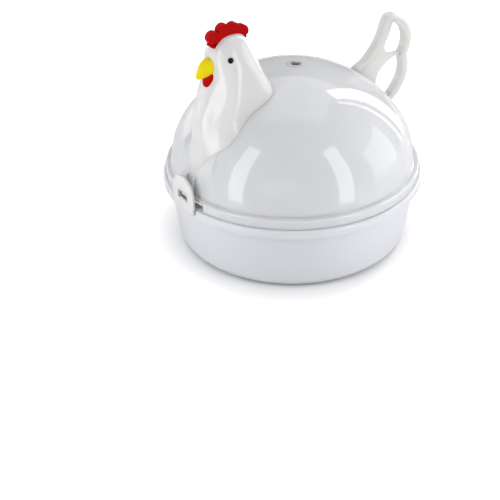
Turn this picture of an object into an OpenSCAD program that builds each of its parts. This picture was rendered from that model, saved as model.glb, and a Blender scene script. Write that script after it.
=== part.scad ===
// Microwave egg cooker in the shape of a sitting hen.
// +Z is up, the hen looks along -Y, its tail points along +Y.
// The origin is the centre of the foot that the base stands on.

/* [Base bowl] */
// Height from the table to the top of the base flange
base_h = 43.3; // [38:0.1:60]
// Outer radius of the base flange
flange_r = 80; // [76:0.5:90]
// Height of the turned-down flange lip
flange_t = 5; // [4:0.1:7]
// How far the bowl wall stands inside the edge of the flange
bowl_in = 3.8; // [3.4:0.1:6]
// How much the bowl narrows in radius from the flange to the foot
bowl_taper = 4.4; // [2:0.1:8]
// Wall thickness of the bowl
bowl_wall = 2.3; // [1.6:0.1:3]
// Radius of the rounded corner at the foot
foot_round = 6.5; // [3:0.5:9]
// Width of the ledge that carries the pan
seat_w = 6.8; // [5:0.1:8]

/* [Latch flaps] */
// Width of a latch flap
flap_w = 22; // [16:0.5:26]
// Length of a latch flap from its hinge to its tip
flap_len = 20.5; // [17:0.5:24]
// Thickness of a latch flap
flap_t = 1.8; // [1.2:0.1:2.4]
// Width of the slot in a latch flap
slot_w = 9.4; // [7:0.1:12]
// Height of the slot in a latch flap
slot_h = 4.8; // [4:0.1:6]
// Distance from the hinge line to the middle of the slot
slot_up = 8; // [6.5:0.1:9.5]
// Height of the hinge line below the top of the flange
hinge_drop = 2.3; // [1.5:0.1:3]

/* [Inner pan] */
// Play between the pan and the ledge that carries it
pan_play = 1.9; // [1:0.1:3]
// Wall thickness of the pan
pan_wall = 0.9; // [0.6:0.1:1.5]
// Width of the rolled rim of the pan
rim_w = 7.4; // [5:0.1:8]
// Height of the rolled rim above the flange
rim_h = 2.3; // [1.5:0.1:2.6]
// Radius of the corner between the floor and the wall of the pan
pan_round = 12; // [6:0.5:18]
// Gap between the floor of the bowl and the pan
pan_gap = 0.8; // [0.5:0.1:3]

/* [Egg tray] */
// Height of the tray above the floor of the pan
tray_h = 12; // [8:0.5:18]
// Sheet thickness of the tray
tray_t = 0.9; // [0.6:0.1:1.5]
// Diameter of the hole that an egg stands in, in percent of the pan's radius
egg_hole_share = 51; // [44:1:53]
// Distance of each egg hole from the middle, in percent of the pan's radius
egg_ring_share = 46.5; // [45:0.5:49]
// Depth of the drawn collar round each egg hole
collar_h = 3; // [1.5:0.5:5]
// Diameter of the steam holes
steam_hole_d = 4.5; // [3:0.5:6]

/* [Lid] */
// How far the lid skirt stands inside the edge of the flange
skirt_in = 2; // [1.8:0.1:3]
// Height of the lid skirt above the flange
skirt_h = 5.8; // [5.2:0.1:9]
// Width of the ledge between the dome and the outside of the skirt
ledge_w = 3.4; // [3:0.1:5]
// Height of the dome above the ledge, in percent of its radius
dome_share = 81.23; // [74:0.01:95]
// Radius of the shoulder arc of the dome, in percent of the dome's radius
shoulder_share = 64.34; // [50:0.01:68]
// Wall thickness of the lid
lid_wall = 2.4; // [1.8:0.1:3]
// Room at each side of a latch flap in the notch of the skirt
notch_gap = 4.5; // [3:0.5:8]
// Outer diameter of the vent bush
vent_d = 10.4; // [8:0.2:14]
// Diameter of the vent hole
vent_hole_d = 6.7; // [4:0.1:7]
// Distance of the vent behind the middle of the lid
vent_back = 2.6; // [0:0.1:8]

/* [Lid liner] */
// Air gap between the dome and the liner
liner_gap = 3; // [2.6:0.1:4]
// Sheet thickness of the liner
liner_t = 0.8; // [0.5:0.1:1.2]

/* [Neck and head] */
// Half width of the neck at its foot
neck_half_w = 20; // [16:0.5:22]
// Wall thickness of the neck
neck_wall = 2.4; // [1.8:0.1:3]
// Depth of the soft ridges down the neck
flute = 0.75; // [0:0.05:1.2]
// Diameter of an eye
eye_d = 3.6; // [2:0.1:5]
// Thickness of the comb at its root
comb_t = 5; // [3:0.1:6]

/* [Tail handle] */
// Width of the rim that runs round the handle
band_w = 7.4; // [5:0.1:12]
// Thickness of that rim
band_t = 3.8; // [2.4:0.1:4.4]
// Thickness of the web between the rims
web_t = 2.8; // [2:0.1:4]

/* [Fit] */
// Gap between pieces that move against each other
run_gap = 0.3; // [0.3:0.05:0.6]
// Gap between pieces fixed to each other along curved faces
seat_gap = 0.1; // [0.05:0.05:0.2]

/* [Hidden] */
$fn = 96;

white = [0.93, 0.94, 0.96];
ivory = [0.95, 0.95, 0.93];
metal = [0.80, 0.81, 0.83];

bowl_top_r = flange_r - bowl_in;             // outside of the bowl wall below the flange
bowl_foot_r = bowl_top_r - bowl_taper;       // outside of the bowl wall at the foot
pan_seat_r = bowl_top_r - seat_w;            // inner edge of the ledge that carries the pan
pan_r = pan_seat_r - pan_play - pan_wall;    // inside of the pan at its mouth
pan_taper = max(0.5, bowl_taper - 2.4);      // how much the pan narrows to its floor
egg_ring_r = pan_r*egg_ring_share/100;
egg_hole_d = pan_r*egg_hole_share/100;
skirt_r = flange_r - skirt_in;               // outside of the lid skirt
dome_r = skirt_r - ledge_w;                  // outside of the dome at the ledge
dome_h = dome_r*dome_share/100;              // height of the dome above the ledge
shoulder_r = dome_r*shoulder_share/100;
notch_half = flap_w/2 + notch_gap;
floor_top = bowl_wall;                       // top of the bowl floor
lip_in_r = flange_r - 2.2;                   // inside of the turned-down lip
hinge_z = base_h - hinge_drop;
flap_y = flange_r - 0.4;                     // distance of the hinge line from the middle
land_y = flap_y - flap_t/2 - run_gap;        // flat land on the flange behind the flap
land_z = min(base_h - 0.5, hinge_z + 0.8);   // top of that land
lean_gap = 0.45;                             // the flat above the land is set back by this
pan_floor = floor_top + pan_gap;             // underside of the pan floor
pan_top = base_h;                            // height at which the rim sits on the flange
lid_low = base_h + run_gap;                  // lower edge of the skirt
ledge_z = base_h + skirt_h;                  // top of the ledge, foot of the dome
ledge_t = 2.2;                               // thickness of the ledge
liner_top = ledge_z - ledge_t;               // underside of the ledge
liner_r = dome_r - lid_wall - liner_gap;     // outer radius of the liner
liner_flange_r = skirt_r - 3.2;              // outer radius of the liner flange
apex_z = ledge_z + dome_h;
slot_z = hinge_z + slot_up;                  // height of the slot with the flap upright
lug_half = slot_w/2 - 0.5;                   // half width of the lug
lug_tip = flap_y - flap_t/2 - run_gap - 0.1; // how far the lug reaches
lug_low = slot_z - slot_h/2 + 0.6;
lug_high = slot_z + slot_h/2 - 0.8;
rib_top = hinge_z + flap_len - 2;            // height at which the ribs of a lug die into the dome
sy = dome_r/74.6;                            // the hen's length against the drawn one
sz = dome_h/60.6;                            // the hen's height against the drawn one
sx = neck_half_w/20;                         // the head's width against the drawn one
neck_screw_y = sy*[-36, -55];                // places of the neck screws
boss_d = 7;                                  // screw boss in the neck
boss_h = 13;
tongue_y = sy*[57, 69];                      // places of the handle's tongues

// Height on this hen of a height z on the drawn one, whose ledge is at 49.1
function up(z) = ledge_z + (z - 49.1)*sz;

// Points of an arc about c from angle a0 to a1
function arc(c, r, a0, a1, n = 10) =
    [for (i = [0:n]) let (a = a0 + (a1 - a0)*i/n) c + r*[cos(a), sin(a)]];

// Radius of the crown arc of an oval dome that is a wide and b high
function crown_r(a, b, r1) = (pow(a - r1, 2) + b*b - r1*r1)/(2*(b - r1));

// Half section of an oval dome made of a crown arc and a shoulder arc
module dome_2d(a, b, r1, z0) {
    r2 = crown_r(a, b, r1);
    zc = z0 + b - r2;
    k = 2*a/norm([a - r1, z0 - zc]);
    intersection() {
        union() {
            translate([a - r1, z0]) circle(r = r1, $fn = 128);
            intersection() {
                translate([0, zc]) circle(r = r2, $fn = 180);
                polygon([[0, zc], [(a - r1)*k, zc + (z0 - zc)*k], [0, zc + 3*a]]);
            }
        }
        translate([0, z0]) square([a + 1, b + 1]);
    }
}

// Solid dome set in by d from the outside of the lid, with its foot at z0
module dome_solid(d, z0 = ledge_z, drop = 0) {
    rotate_extrude() dome_2d(dome_r - d, dome_h - d + ledge_z - z0, shoulder_r - d, z0);
    if (drop > 0) translate([0, 0, z0 - drop]) cylinder(r = dome_r - d, h = drop);
}

// Does the same at the hen's breast and below its tail
module front_and_rear() {
    children();
    rotate([0, 0, 180]) children();
}

module base_bowl() {
    lip = flange_t;
    color(white) union() {
        difference() {
            rotate_extrude() difference() {
                // Outside: flat floor, rounded corner, tapered wall, flange
                polygon(concat([[0, 0]],
                    arc([bowl_foot_r - foot_round, foot_round], foot_round, -90, 0),
                    [[bowl_top_r, base_h - lip + 0.6], [bowl_top_r + 0.2, base_h - 2.2],
                     [lip_in_r, base_h - 2.2], [lip_in_r, base_h - lip],
                     [flange_r - 0.5, base_h - lip], [flange_r, base_h - lip + 0.5]],
                    arc([flange_r - 1.4, base_h - 1.4], 1.4, 0, 90, 5),
                    [[0, base_h]]));
                // Inside of the bowl
                polygon(concat(
                    [[0, floor_top], [bowl_foot_r - foot_round - 2, floor_top]],
                    arc([bowl_foot_r - foot_round, foot_round], foot_round - bowl_wall, -80, 0),
                    [[bowl_top_r - bowl_wall, base_h - lip - 1], [pan_seat_r, base_h - 2.4],
                     [pan_seat_r, base_h + 1], [0, base_h + 1]]));
            }
            // Flat behind each flap, set back above the hinge so that the flap can lean in
            front_and_rear() translate([-flap_w/2 - 0.6, -flange_r - 1, 0]) {
                cube([flap_w + 1.2, flange_r + 1 - land_y, base_h + 1]);
                translate([0, 0, land_z])
                    cube([flap_w + 1.2, flange_r + 1 - land_y + lean_gap, base_h + 1 - land_z]);
            }
        }
        // Land that carries each hinge
        front_and_rear() difference() {
            translate([-flap_w/2 - 0.6, -land_y, base_h - lip])
                cube([flap_w + 1.2, land_y - bowl_top_r + 1, land_z - base_h + lip]);
            cylinder(r = bowl_top_r - 0.9, h = base_h);
        }
    }
}

// Latch flap, upright, with its hinge line along X
module latch_flap() {
    d = flap_w/2;
    color(white) translate([0, -flap_y, hinge_z]) difference() {
        union() {
            rotate([90, 0, 0]) translate([0, 0, -flap_t/2]) linear_extrude(flap_t) intersection() {
                union() {
                    translate([-d, 0]) square([flap_w, max(0.1, flap_len - d)]);
                    translate([0, flap_len - d]) circle(r = d, $fn = 64);
                }
                translate([-d, 0]) square([flap_w, flap_len + 1]);
            }
            rotate([0, 90, 0]) cylinder(d = flap_t, h = flap_w, center = true, $fn = 32);
        }
        translate([-slot_w/2, -flap_t, slot_up - slot_h/2]) cube([slot_w, 2*flap_t, slot_h]);
    }
}

module front_latch_flap() latch_flap();

module rear_latch_flap() rotate([0, 0, 180]) latch_flap();

// Section of the pan in one outline: bowl, then an arch rim_w wide and rim_h high
module inner_pan() {
    r = pan_r;
    w = pan_wall;
    out = r + w;
    z0 = pan_floor;
    corner = [out - pan_round - pan_taper, z0 + pan_round];
    cr = (pow(rim_w/2, 2) + rim_h*rim_h)/(2*rim_h);
    rc = r + rim_w/2;
    cz = pan_top + rim_h - cr;
    a = asin((pan_top - cz)/cr);
    b = asin((pan_top - cz)/(cr - w));
    color(metal) rotate_extrude() polygon(concat(
        [[0, z0]], arc(corner, pan_round, -90, -4), [[out, pan_top - 1]],
        arc([rc, cz], cr - w, 180 - b, b, 16), arc([rc, cz], cr, a, 180 - a, 20),
        arc(corner, pan_round - w, -4, -90), [[0, z0 + w]]));
}

// Sheet tray with a turned-down skirt, four egg holes and steam holes
module egg_tray() {
    foot = pan_floor + pan_wall;
    top = foot + tray_h;
    low = top - 5.5;                           // lower edge of the skirt
    // The skirt stands just clear of the corner of the pan
    r_foot = pan_r + pan_wall - pan_round - pan_taper - 0.3
        + sqrt(pow(pan_round - pan_wall, 2) - pow(min(0, low - pan_floor - pan_round), 2));
    color(metal) difference() {
        union() {
            rotate_extrude() polygon([[0, top - tray_t], [r_foot - 2, top - tray_t],
                [r_foot - tray_t, top - tray_t - 1.2], [r_foot - tray_t, low],
                [r_foot, low], [r_foot, top - 1], [r_foot - 1, top], [0, top]]);
            for (i = [0:3]) rotate(45 + 90*i) translate([egg_ring_r, 0, top - collar_h])
                cylinder(d = egg_hole_d + 2*tray_t, h = collar_h);
            // Legs pressed out of the sheet stand on the floor of the pan
            for (i = [0:3]) rotate(90*i) translate([r_foot - 12, -4, foot])
                cube([tray_t, 8, tray_h - 0.2]);
        }
        for (i = [0:3]) rotate(45 + 90*i) translate([egg_ring_r, 0, foot])
            cylinder(d = egg_hole_d, h = tray_h + 1);
        // Finger hole in the middle and steam holes round it
        translate([0, 0, foot]) cylinder(d = 13, h = tray_h + 1);
        for (i = [0:3], s = [-1, 0, 1]) rotate(90*i + s*9) translate([r_foot - 6 - abs(s)*0.5, 0, foot])
            cylinder(d = steam_hole_d, h = tray_h + 1, $fn = 32);
        for (i = [0:3]) rotate(90*i) translate([r_foot - 24, 0, foot])
            cylinder(d = steam_hole_d, h = tray_h + 1, $fn = 32);
        // Arches in the skirt let the water through
        for (i = [0:3]) rotate(45 + 90*i) translate([r_foot - 4, -9, foot])
            cube([8, 18, low - foot + 2]);
    }
}

// Lug of a latch with a rib at each side that runs up the dome
module latch_lug() {
    tilt = 9.4;                                // the flap may lean in by this angle
    in_y = function (z) flap_y - flap_t/2 - (z - hinge_z)*sin(tilt) - 0.5;
    translate([-lug_half, 0, 0]) rotate([90, 0, 90]) linear_extrude(2*lug_half)
        polygon([[-dome_r + 1, lug_low - 0.4], [-lug_tip + 1, lug_low - 0.4],
            [-lug_tip, lug_low + 0.4], [-lug_tip, lug_high - 1.6], [-lug_tip + 1.4, lug_high],
            [-dome_r + 1, lug_high]]);
    for (s = [-1, 1]) translate([s*(lug_half - 0.6) - 0.6, 0, 0])
        rotate([90, 0, 90]) linear_extrude(1.2)
            polygon([[-in_y(lug_high + 0.4), lug_high - 0.5], [-in_y(lug_high + 0.4), lug_high + 0.4],
                [-in_y(rib_top), rib_top], [-dome_r + 5, rib_top + 2.2],
                [-dome_r + 1.6, lug_high - 0.5]]);
}

module lid_dome() {
    color(white) difference() {
        union() {
            difference() {
                rotate_extrude() {
                    difference() {
                        dome_2d(dome_r, dome_h, shoulder_r, ledge_z);
                        dome_2d(dome_r - lid_wall, dome_h - lid_wall, shoulder_r - lid_wall, ledge_z);
                    }
                    // Ledge and skirt
                    polygon(concat([[dome_r - lid_wall, ledge_z + 0.3],
                        [dome_r - lid_wall, ledge_z - ledge_t], [skirt_r - 2, ledge_z - ledge_t],
                        [skirt_r - 2, lid_low], [skirt_r - 0.3, lid_low], [skirt_r, lid_low + 0.3]],
                        arc([skirt_r - 0.9, ledge_z - 0.9], 0.9, 0, 90, 4),
                        [[dome_r + 0.5, ledge_z], [dome_r, ledge_z + 0.5]]));
                }
                // Notch in the ledge and the skirt in front of each lug
                front_and_rear() {
                    translate([-notch_half, -skirt_r - 2, lid_low - 1])
                        cube([2*notch_half, skirt_r + 2 - dome_r - 0.9, ledge_z - lid_low + 3]);
                    translate([-notch_half, -skirt_r - 2, lid_low - 1])
                        cube([2*notch_half, skirt_r/5, liner_top - lid_low + 1]);
                }
            }
            intersection() {
                front_and_rear() latch_lug();
                difference() {
                    cylinder(r = skirt_r + 4, h = apex_z);
                    dome_solid(lid_wall/2, ledge_z, 6);
                }
            }
        }
        // Spot face and hole of the vent
        translate([0, vent_back, apex_z - 0.6]) cylinder(d = vent_d, h = 4, $fn = 64);
        translate([0, vent_back, apex_z - 8]) cylinder(d = vent_hole_d + 1.8, h = 10, $fn = 64);
        // Slots for the tongues of the handle
        tongues(seat_gap);
        // Holes for the neck screws
        neck_screw_places() translate([0, 0, -6]) cylinder(d = 3.4, h = 12, $fn = 32);
    }
}

module lid_liner() {
    d = dome_r - liner_r;
    color(metal) difference() {
        union() {
            dome_solid(d, ledge_z, ledge_t + liner_t/2);
            // Flange under the ledge of the lid
            translate([0, 0, liner_top - liner_t]) cylinder(r = liner_flange_r, h = liner_t);
        }
        dome_solid(d + liner_t, ledge_z, ledge_t + liner_t + 1);
        translate([0, vent_back, apex_z - 12]) cylinder(d = vent_hole_d + 1.8, h = 12, $fn = 64);
    }
}

// Bush with a flange on top, a tube through both shells and a collar below the liner
module vent_bush() {
    low = apex_z - lid_wall - liner_gap - liner_t - 0.1;
    color(white) translate([0, vent_back, 0]) difference() {
        union() {
            translate([0, 0, apex_z - 0.6]) cylinder(d = vent_d - 2*seat_gap, h = 1, $fn = 64);
            translate([0, 0, low - 1.6]) cylinder(d = vent_hole_d + 1.8 - 2*seat_gap,
                h = apex_z - low + 1.2, $fn = 64);
            translate([0, 0, low - 1.6]) cylinder(d = vent_d, h = 1.2, $fn = 64);
        }
        translate([0, 0, low - 5]) cylinder(d = vent_hole_d, h = 20, $fn = 64);
    }
}

// Neck and head stations from the foot up: height, middle, half depth, half width
neck_rows = [[56, -44, 29.2, 1.06], [65, -43.6, 28.4, 1.11], [76, -42.5, 26.2, 1.11],
    [86, -42.7, 26, 0.98], [95, -42.7, 25.2, 0.9], [105, -41.6, 22.2, 0.92], [112, -42.2, 18.4, 0.86],
    [119, -43, 15.9, 0.775], [125, -44, 14.4, 0.69], [130, -45, 13, 0.6], [134, -44.9, 11.2, 0.49],
    [137.4, -44.4, 8.6, 0.37], [139.5, -44.2, 5.2, 0.21], [140.2, -44.3, 1.8, 0.06]];

// Smooth value of column k of the rows at height z
function row_i(z, i = 0) = (i >= len(neck_rows) - 2 || z < neck_rows[i + 1][0]) ? i : row_i(z, i + 1);
function slope(i, k) = let (a = max(i - 1, 0), b = min(i + 1, len(neck_rows) - 1))
    (neck_rows[b][k] - neck_rows[a][k])/(neck_rows[b][0] - neck_rows[a][0]);
function neck_at(z, k) = let (i = row_i(z), p = neck_rows[i], q = neck_rows[i + 1], h = q[0] - p[0],
    t = (z - p[0])/h, m0 = slope(i, k)*h, m1 = slope(i + 1, k)*h)
    (2*t*t*t - 3*t*t + 1)*p[k] + (t*t*t - 2*t*t + t)*m0 + (3*t*t - 2*t*t*t)*q[k] + (t*t*t - t*t)*m1;

// Share of the ridge depth at height z: full on the neck, none on the head and at the foot
function ridge(z) = flute*max(0, min(1, (z - 66)/16))*max(0, min(1, (124 - z)/16));

// One ring of the neck at height z, set in by d
function neck_ring(z, d, n) = let (yc = neck_at(z, 1)*sy, a = neck_at(z, 2)*sy - d,
    b = neck_at(z, 3)*neck_half_w - d, e = 2/2.35)
    [for (i = [0:n - 1]) let (t = 360*i/n, c = cos(t), s = sin(t),
        g = d > 0 ? 0 : ridge(z)*cos(6*(t + 90)))
        [sign(c)*pow(abs(c), e)*(b + g), yc + sign(s)*pow(abs(s), e)*(a + g), up(z)]];

// Closed skin through a stack of rings of equal length
module loft(rings) {
    n = len(rings[0]);
    m = len(rings);
    polyhedron([for (r = rings) each r], concat(
        [[for (i = [0:n - 1]) i]],
        [for (j = [0:m - 2], i = [0:n - 1]) let (k = (i + 1) % n) each
            [[j*n + i, (j + 1)*n + i, (j + 1)*n + k], [j*n + i, (j + 1)*n + k, j*n + k]]],
        [[for (i = [n - 1:-1:0]) (m - 1)*n + i]]), convexity = 6);
}

neck_z = concat([for (z = [56:5:126]) z], [for (z = [128:2:136]) z], [137.6, 139, 139.8, 140.2]);

// The whole outer form of neck and head
module neck_form() loft([for (z = neck_z) neck_ring(z, 0, 54)]);

// Puts its children on the dome y behind the middle, with Z along the outward normal
module on_dome(y) {
    rr = crown_r(dome_r, dome_h, shoulder_r);
    on_crown = abs(y) < (dome_r - shoulder_r)*rr/(rr - shoulder_r);
    c = on_crown ? [0, apex_z - rr] : [dome_r - shoulder_r, ledge_z];
    r = on_crown ? rr : shoulder_r;
    tilt = asin((abs(y) - c[0])/r);
    translate([0, y, c[1] + r*cos(tilt)]) rotate([-sign(y)*tilt, 0, 0]) children();
}

// Puts its children at each neck screw
module neck_screw_places() for (y = neck_screw_y) on_dome(y) children();

// Boss of a neck screw with four gussets
module neck_boss() {
    cylinder(d = boss_d, h = boss_h, $fn = 32);
    for (a = [0:90:270]) rotate(a) hull() {
        translate([0, -0.8, 0]) cube([boss_d/2 + 3, 1.6, 0.5]);
        translate([0, -0.8, boss_h - 1]) cube([boss_d/2 + 0.2, 1.6, 0.5]);
    }
}

module neck_and_head() {
    hollow = [for (z = [64:8:120]) neck_ring(z, neck_wall, 32)];
    color(ivory) difference() {
        union() {
            difference() {
                neck_form();
                // Hollow of the neck
                loft(concat([[for (p = hollow[0]) [p[0], p[1], up(46)]]], hollow));
            }
            // Bosses for the screws on a rib down the middle
            intersection() {
                neck_form();
                union() {
                    neck_screw_places() neck_boss();
                    translate([-0.9, -80*sy, up(50)]) cube([1.8, 70*sy, 62*sz]);
                }
            }
        }
        dome_solid(-seat_gap, ledge_z, 12);
        neck_screw_places() translate([0, 0, -1]) cylinder(d = 2.6, h = boss_h, $fn = 32);
        // Seats of the comb, the beak and the wattle, sockets of the eyes
        comb_form(seat_gap);
        eye_places() translate([0, 0, -4]) cylinder(d = 2 + 2*seat_gap, h = 10, $fn = 24);
        beak_form(seat_gap);
        wattle_form(seat_gap);
    }
}

module neck_screws() {
    color([0.6, 0.6, 0.62]) neck_screw_places() {
        translate([0, 0, -lid_wall - 1.8]) cylinder(d = 5.6, h = 1.8 - seat_gap, $fn = 32);
        translate([0, 0, -lid_wall - 1]) cylinder(d = 2.4, h = 10, $fn = 32);
    }
}

// Lobes of the comb: distance along the head, height, radius
comb_lobes = [[-55.3, 139.8, 3.9], [-48.6, 142.7, 4], [-41.9, 142, 4], [-36.3, 139.9, 3.7]];
comb_root = [[-58.4, 137.4], [-56, 142], [-48.6, 144.4], [-42, 144], [-36, 141.6], [-33.2, 138],
    [-34.4, 136.4], [-38.4, 138.2], [-46.6, 138.4], [-50.4, 136.8], [-53, 134], [-55.4, 134.8]];

module comb_form(g = 0) rotate([90, 0, 90]) translate([0, 0, -comb_t/2 - g]) {
    for (l = comb_lobes) translate([l[0]*sy, up(l[1]), 0])
        cylinder(r = l[2]*sy + g, h = comb_t + 2*g, $fn = 48);
    // Root that fills the gaps between the lobes and sits in the head, lower edge g lower
    linear_extrude(comb_t + 2*g) polygon([for (i = [0:len(comb_root) - 1]) let (p = comb_root[i])
        [p[0]*sy, up(p[1]) - (i > 5 ? g : 0)]]);
}

module comb() color([0.75, 0.03, 0.03]) comb_form();

// Beak: rings from the head out to the tip: [y, z] of the middle, half height, half width
beak_rows = [[-54, 123.2, 5.9, 5.6], [-58, 123.2, 5.7, 5], [-61, 122.6, 4.9, 4], [-63.6, 121.4, 3.6, 2.9],
    [-65.6, 119.9, 2.2, 1.8], [-67, 118.9, 0.9, 0.8]];

module beak_form(g = 0) loft([for (j = [0:len(beak_rows) - 1]) let (r = beak_rows[j]) [for (i = [0:19])
    let (t = 360*i/20) [(r[3]*sx + g)*cos(t), r[0]*sy + (j == 0 ? g : 0) - 0.35*(r[2]*sz + g)*sin(t),
        up(r[1]) + (r[2]*sz + g)*sin(t)]]]);

module beak() color([0.92, 0.84, 0.02]) beak_form();

// Wattle: rings from the beak down: height, middle, half depth, half width
wattle_rows = [[121, -57.5, 2.6, 3.6], [118.5, -58.4, 3.2, 4.4], [116, -59.2, 3.1, 3.9],
    [114, -59.9, 2.7, 2.9], [112.6, -60.4, 1.8, 1.8], [112, -60.6, 0.8, 0.8]];

module wattle_form(g = 0) loft([for (j = [0:len(wattle_rows) - 1]) let (r = wattle_rows[j],
    end = j == 0 ? 1 : j == len(wattle_rows) - 1 ? -1 : 0) [for (i = [0:19]) let (t = -360*i/20)
    [(r[3]*sx + g)*cos(t), r[1]*sy + (r[2]*sy + g)*sin(t), up(r[0]) + g*end]]]);

module wattle() color([0.75, 0.03, 0.03]) difference() {
    wattle_form();
    beak_form(seat_gap);
}

// Puts its children on each side of the head, with Z out of the eye
module eye_place(s) translate([s*11.15*sx, -51.5*sy, up(129)]) rotate([0, 0, s > 0 ? -23 : 203]) rotate([0, 70, 0])
    children();

module eye_places() for (s = [-1, 1]) eye_place(s) children();

module eye_bead() color([0.03, 0.03, 0.03]) {
    cylinder(d = 2, h = 4, center = true, $fn = 24);
    intersection() {
        translate([0, 0, 0.15]) cylinder(d = eye_d, h = 2, $fn = 32);
        translate([0, 0, -2.6]) sphere(d = 7, $fn = 48);
    }
}

module left_eye() eye_place(1) eye_bead();

module right_eye() eye_place(-1) eye_bead();

// The outside of the lid, g larger, in short straight steps
module dome_plug(g) {
    r1 = shoulder_r + g;
    r2 = crown_r(dome_r + g, dome_h + g, r1);
    zc = apex_z + g - r2;
    t = atan2(ledge_z - zc, dome_r + g - r1);
    rotate_extrude() polygon(concat([[0, ledge_z - 12], [dome_r + g, ledge_z - 12]],
        arc([dome_r + g - r1, ledge_z], r1, 0, t, 14),
        arc([0, zc], r2, t + (90 - t)/24, 90, 23)));
}

// Outline of the handle in the plane of the hen: [y, z], round from the front foot over the tip
handle_line = [[43, 86], [49, 94.4], [56.6, 98.2], [63.8, 104.8], [68.4, 111.4], [71, 117.8],
    [73.4, 122.8], [78.4, 125], [86, 121.6], [91.7, 116], [94.8, 109.4], [95.3, 103.6], [94, 98],
    [92.2, 94.6], [93.4, 90.6], [93.7, 84.6], [92, 77.8], [87.3, 70.6], [80, 64.6], [66, 58],
    [50, 66]];

// Closed smooth line through points
function smooth(p, n = 5) = let (m = len(p)) [for (i = [0:m - 1], j = [0:n - 1]) let (t = j/n,
    a = p[(i + m - 1) % m], b = p[i], c = p[(i + 1) % m], d = p[(i + 2) % m])
    0.5*(2*b + (c - a)*t + (2*a - 5*b + 4*c - d)*t*t + (3*b - a - 3*c + d)*t*t*t)];

// The same line moved in by d, and by up to 30 percent more at the rear of the handle
function inset(p, d) = let (m = len(p)) [for (i = [0:m - 1]) let (q = p[(i + 1) % m] - p[(i + m - 1) % m])
    p[i] + d*(1 + 0.3*max(0, min(1, (p[i][0]/sy - 76)/12)))*[q[1], -q[0]]/norm(q)];

function fit(p) = [for (q = p) [q[0]*sy, up(q[1])]];

handle_outer = smooth(fit(handle_line));
handle_inner = inset(handle_outer, band_t);

// Finger holes of the handle
hole_low = [[71.2, 74], [68, 77.4], [67.7, 82.6], [70, 87.6], [74.4, 91.4], [80.4, 94.2], [87, 95.4],
    [98, 91], [97, 80], [88, 69], [77.6, 70.4]];
hole_high = [[82.4, 97.4], [77, 98.8], [74, 101.8], [74.2, 105.4], [77.4, 111.8], [80.2, 118.6],
    [86, 122], [97, 114], [98, 102], [90.6, 97.4]];

// Children drawn in [y, z] become a plate w thick in the plane of the hen
module plate(w) rotate([90, 0, 90]) translate([0, 0, -w/2]) linear_extrude(w) children();

// Tongues that pass through the dome and hold the handle
module tongues(g) for (y = tongue_y) on_dome(y)
    translate([-web_t/2 + 0.3 - g, -4 - g, -lid_wall - 1.6])
        cube([web_t - 0.6 + 2*g, 8 + 2*g, lid_wall + 2.8]);

module tail_handle() {
    color(ivory) union() {
        difference() {
            union() {
                plate(band_w) difference() {
                    polygon(handle_outer);
                    polygon(handle_inner);
                }
                plate(web_t) difference() {
                    polygon(inset(handle_outer, band_t/2));
                    polygon(smooth(fit(hole_low)));
                    polygon(smooth(fit(hole_high)));
                }
            }
            dome_plug(seat_gap);
        }
        tongues(0);
    }
}

base_bowl();
front_latch_flap();
rear_latch_flap();
inner_pan();
egg_tray();
lid_dome();
lid_liner();
vent_bush();
neck_and_head();
neck_screws();
comb();
beak();
wattle();
left_eye();
right_eye();
tail_handle();
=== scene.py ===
"""Hen-shaped microwave egg cooker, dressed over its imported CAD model.

Lengths in the classes are millimetres; the meshes are written in metres.
+Z is up, the hen looks along -Y, its tail handle points along +Y.
"""

import logging
import math
from dataclasses import dataclass, field
from enum import Enum
from typing import Iterator, Sequence

import bmesh
import bpy
import numpy as np
from mathutils import Matrix, Vector
from mathutils.geometry import delaunay_2d_cdt

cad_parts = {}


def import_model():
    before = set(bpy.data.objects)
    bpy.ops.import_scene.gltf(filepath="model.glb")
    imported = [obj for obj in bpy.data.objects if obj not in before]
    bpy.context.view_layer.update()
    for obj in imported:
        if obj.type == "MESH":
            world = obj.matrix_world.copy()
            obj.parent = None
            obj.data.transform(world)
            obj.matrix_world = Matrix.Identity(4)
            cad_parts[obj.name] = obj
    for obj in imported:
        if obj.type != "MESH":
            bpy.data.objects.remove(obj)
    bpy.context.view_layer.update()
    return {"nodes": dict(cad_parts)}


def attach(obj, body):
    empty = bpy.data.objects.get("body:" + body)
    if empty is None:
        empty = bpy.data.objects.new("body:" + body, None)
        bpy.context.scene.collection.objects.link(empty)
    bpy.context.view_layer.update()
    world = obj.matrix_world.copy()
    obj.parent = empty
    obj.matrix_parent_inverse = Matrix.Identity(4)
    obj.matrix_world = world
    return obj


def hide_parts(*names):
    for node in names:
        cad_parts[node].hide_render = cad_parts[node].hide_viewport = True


log = logging.getLogger("egg_cooker")
Array = np.ndarray
Color = tuple[float, float, float]
Piece = bpy.types.Object
Tree = bpy.types.NodeTree
Node = bpy.types.Node
MM = 0.001


class Side(Enum):
    """The end of the cooker that a latch sits at."""

    FRONT = -1.0
    REAR = 1.0


class Hand(Enum):
    """The side of the hen's head."""

    LEFT = 1.0
    RIGHT = -1.0


class Body(Enum):
    """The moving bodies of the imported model."""

    BASE = "base"
    FRONT_FLAP = "front_flap"
    REAR_FLAP = "rear_flap"
    LID = "lid"


# Mesh work with numpy


def smoothstep(low: float, high: float, x: Array) -> Array:
    """Return t*t*(3 - 2*t) with t = (x - low)/(high - low) kept in 0..1."""
    t = np.clip((np.asarray(x, float) - low) / (high - low), 0.0, 1.0)
    return t * t * (3.0 - 2.0 * t)


def arc(cx: float, cy: float, r: float, a0: float, a1: float, n: int) -> Array:
    """Return n points (cx + r*cos(a), cy + r*sin(a)) with a from a0 to a1 degrees."""
    a = np.radians(np.linspace(a0, a1, n))
    return np.stack([cx + r * np.cos(a), cy + r * np.sin(a)], axis=1)


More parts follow.
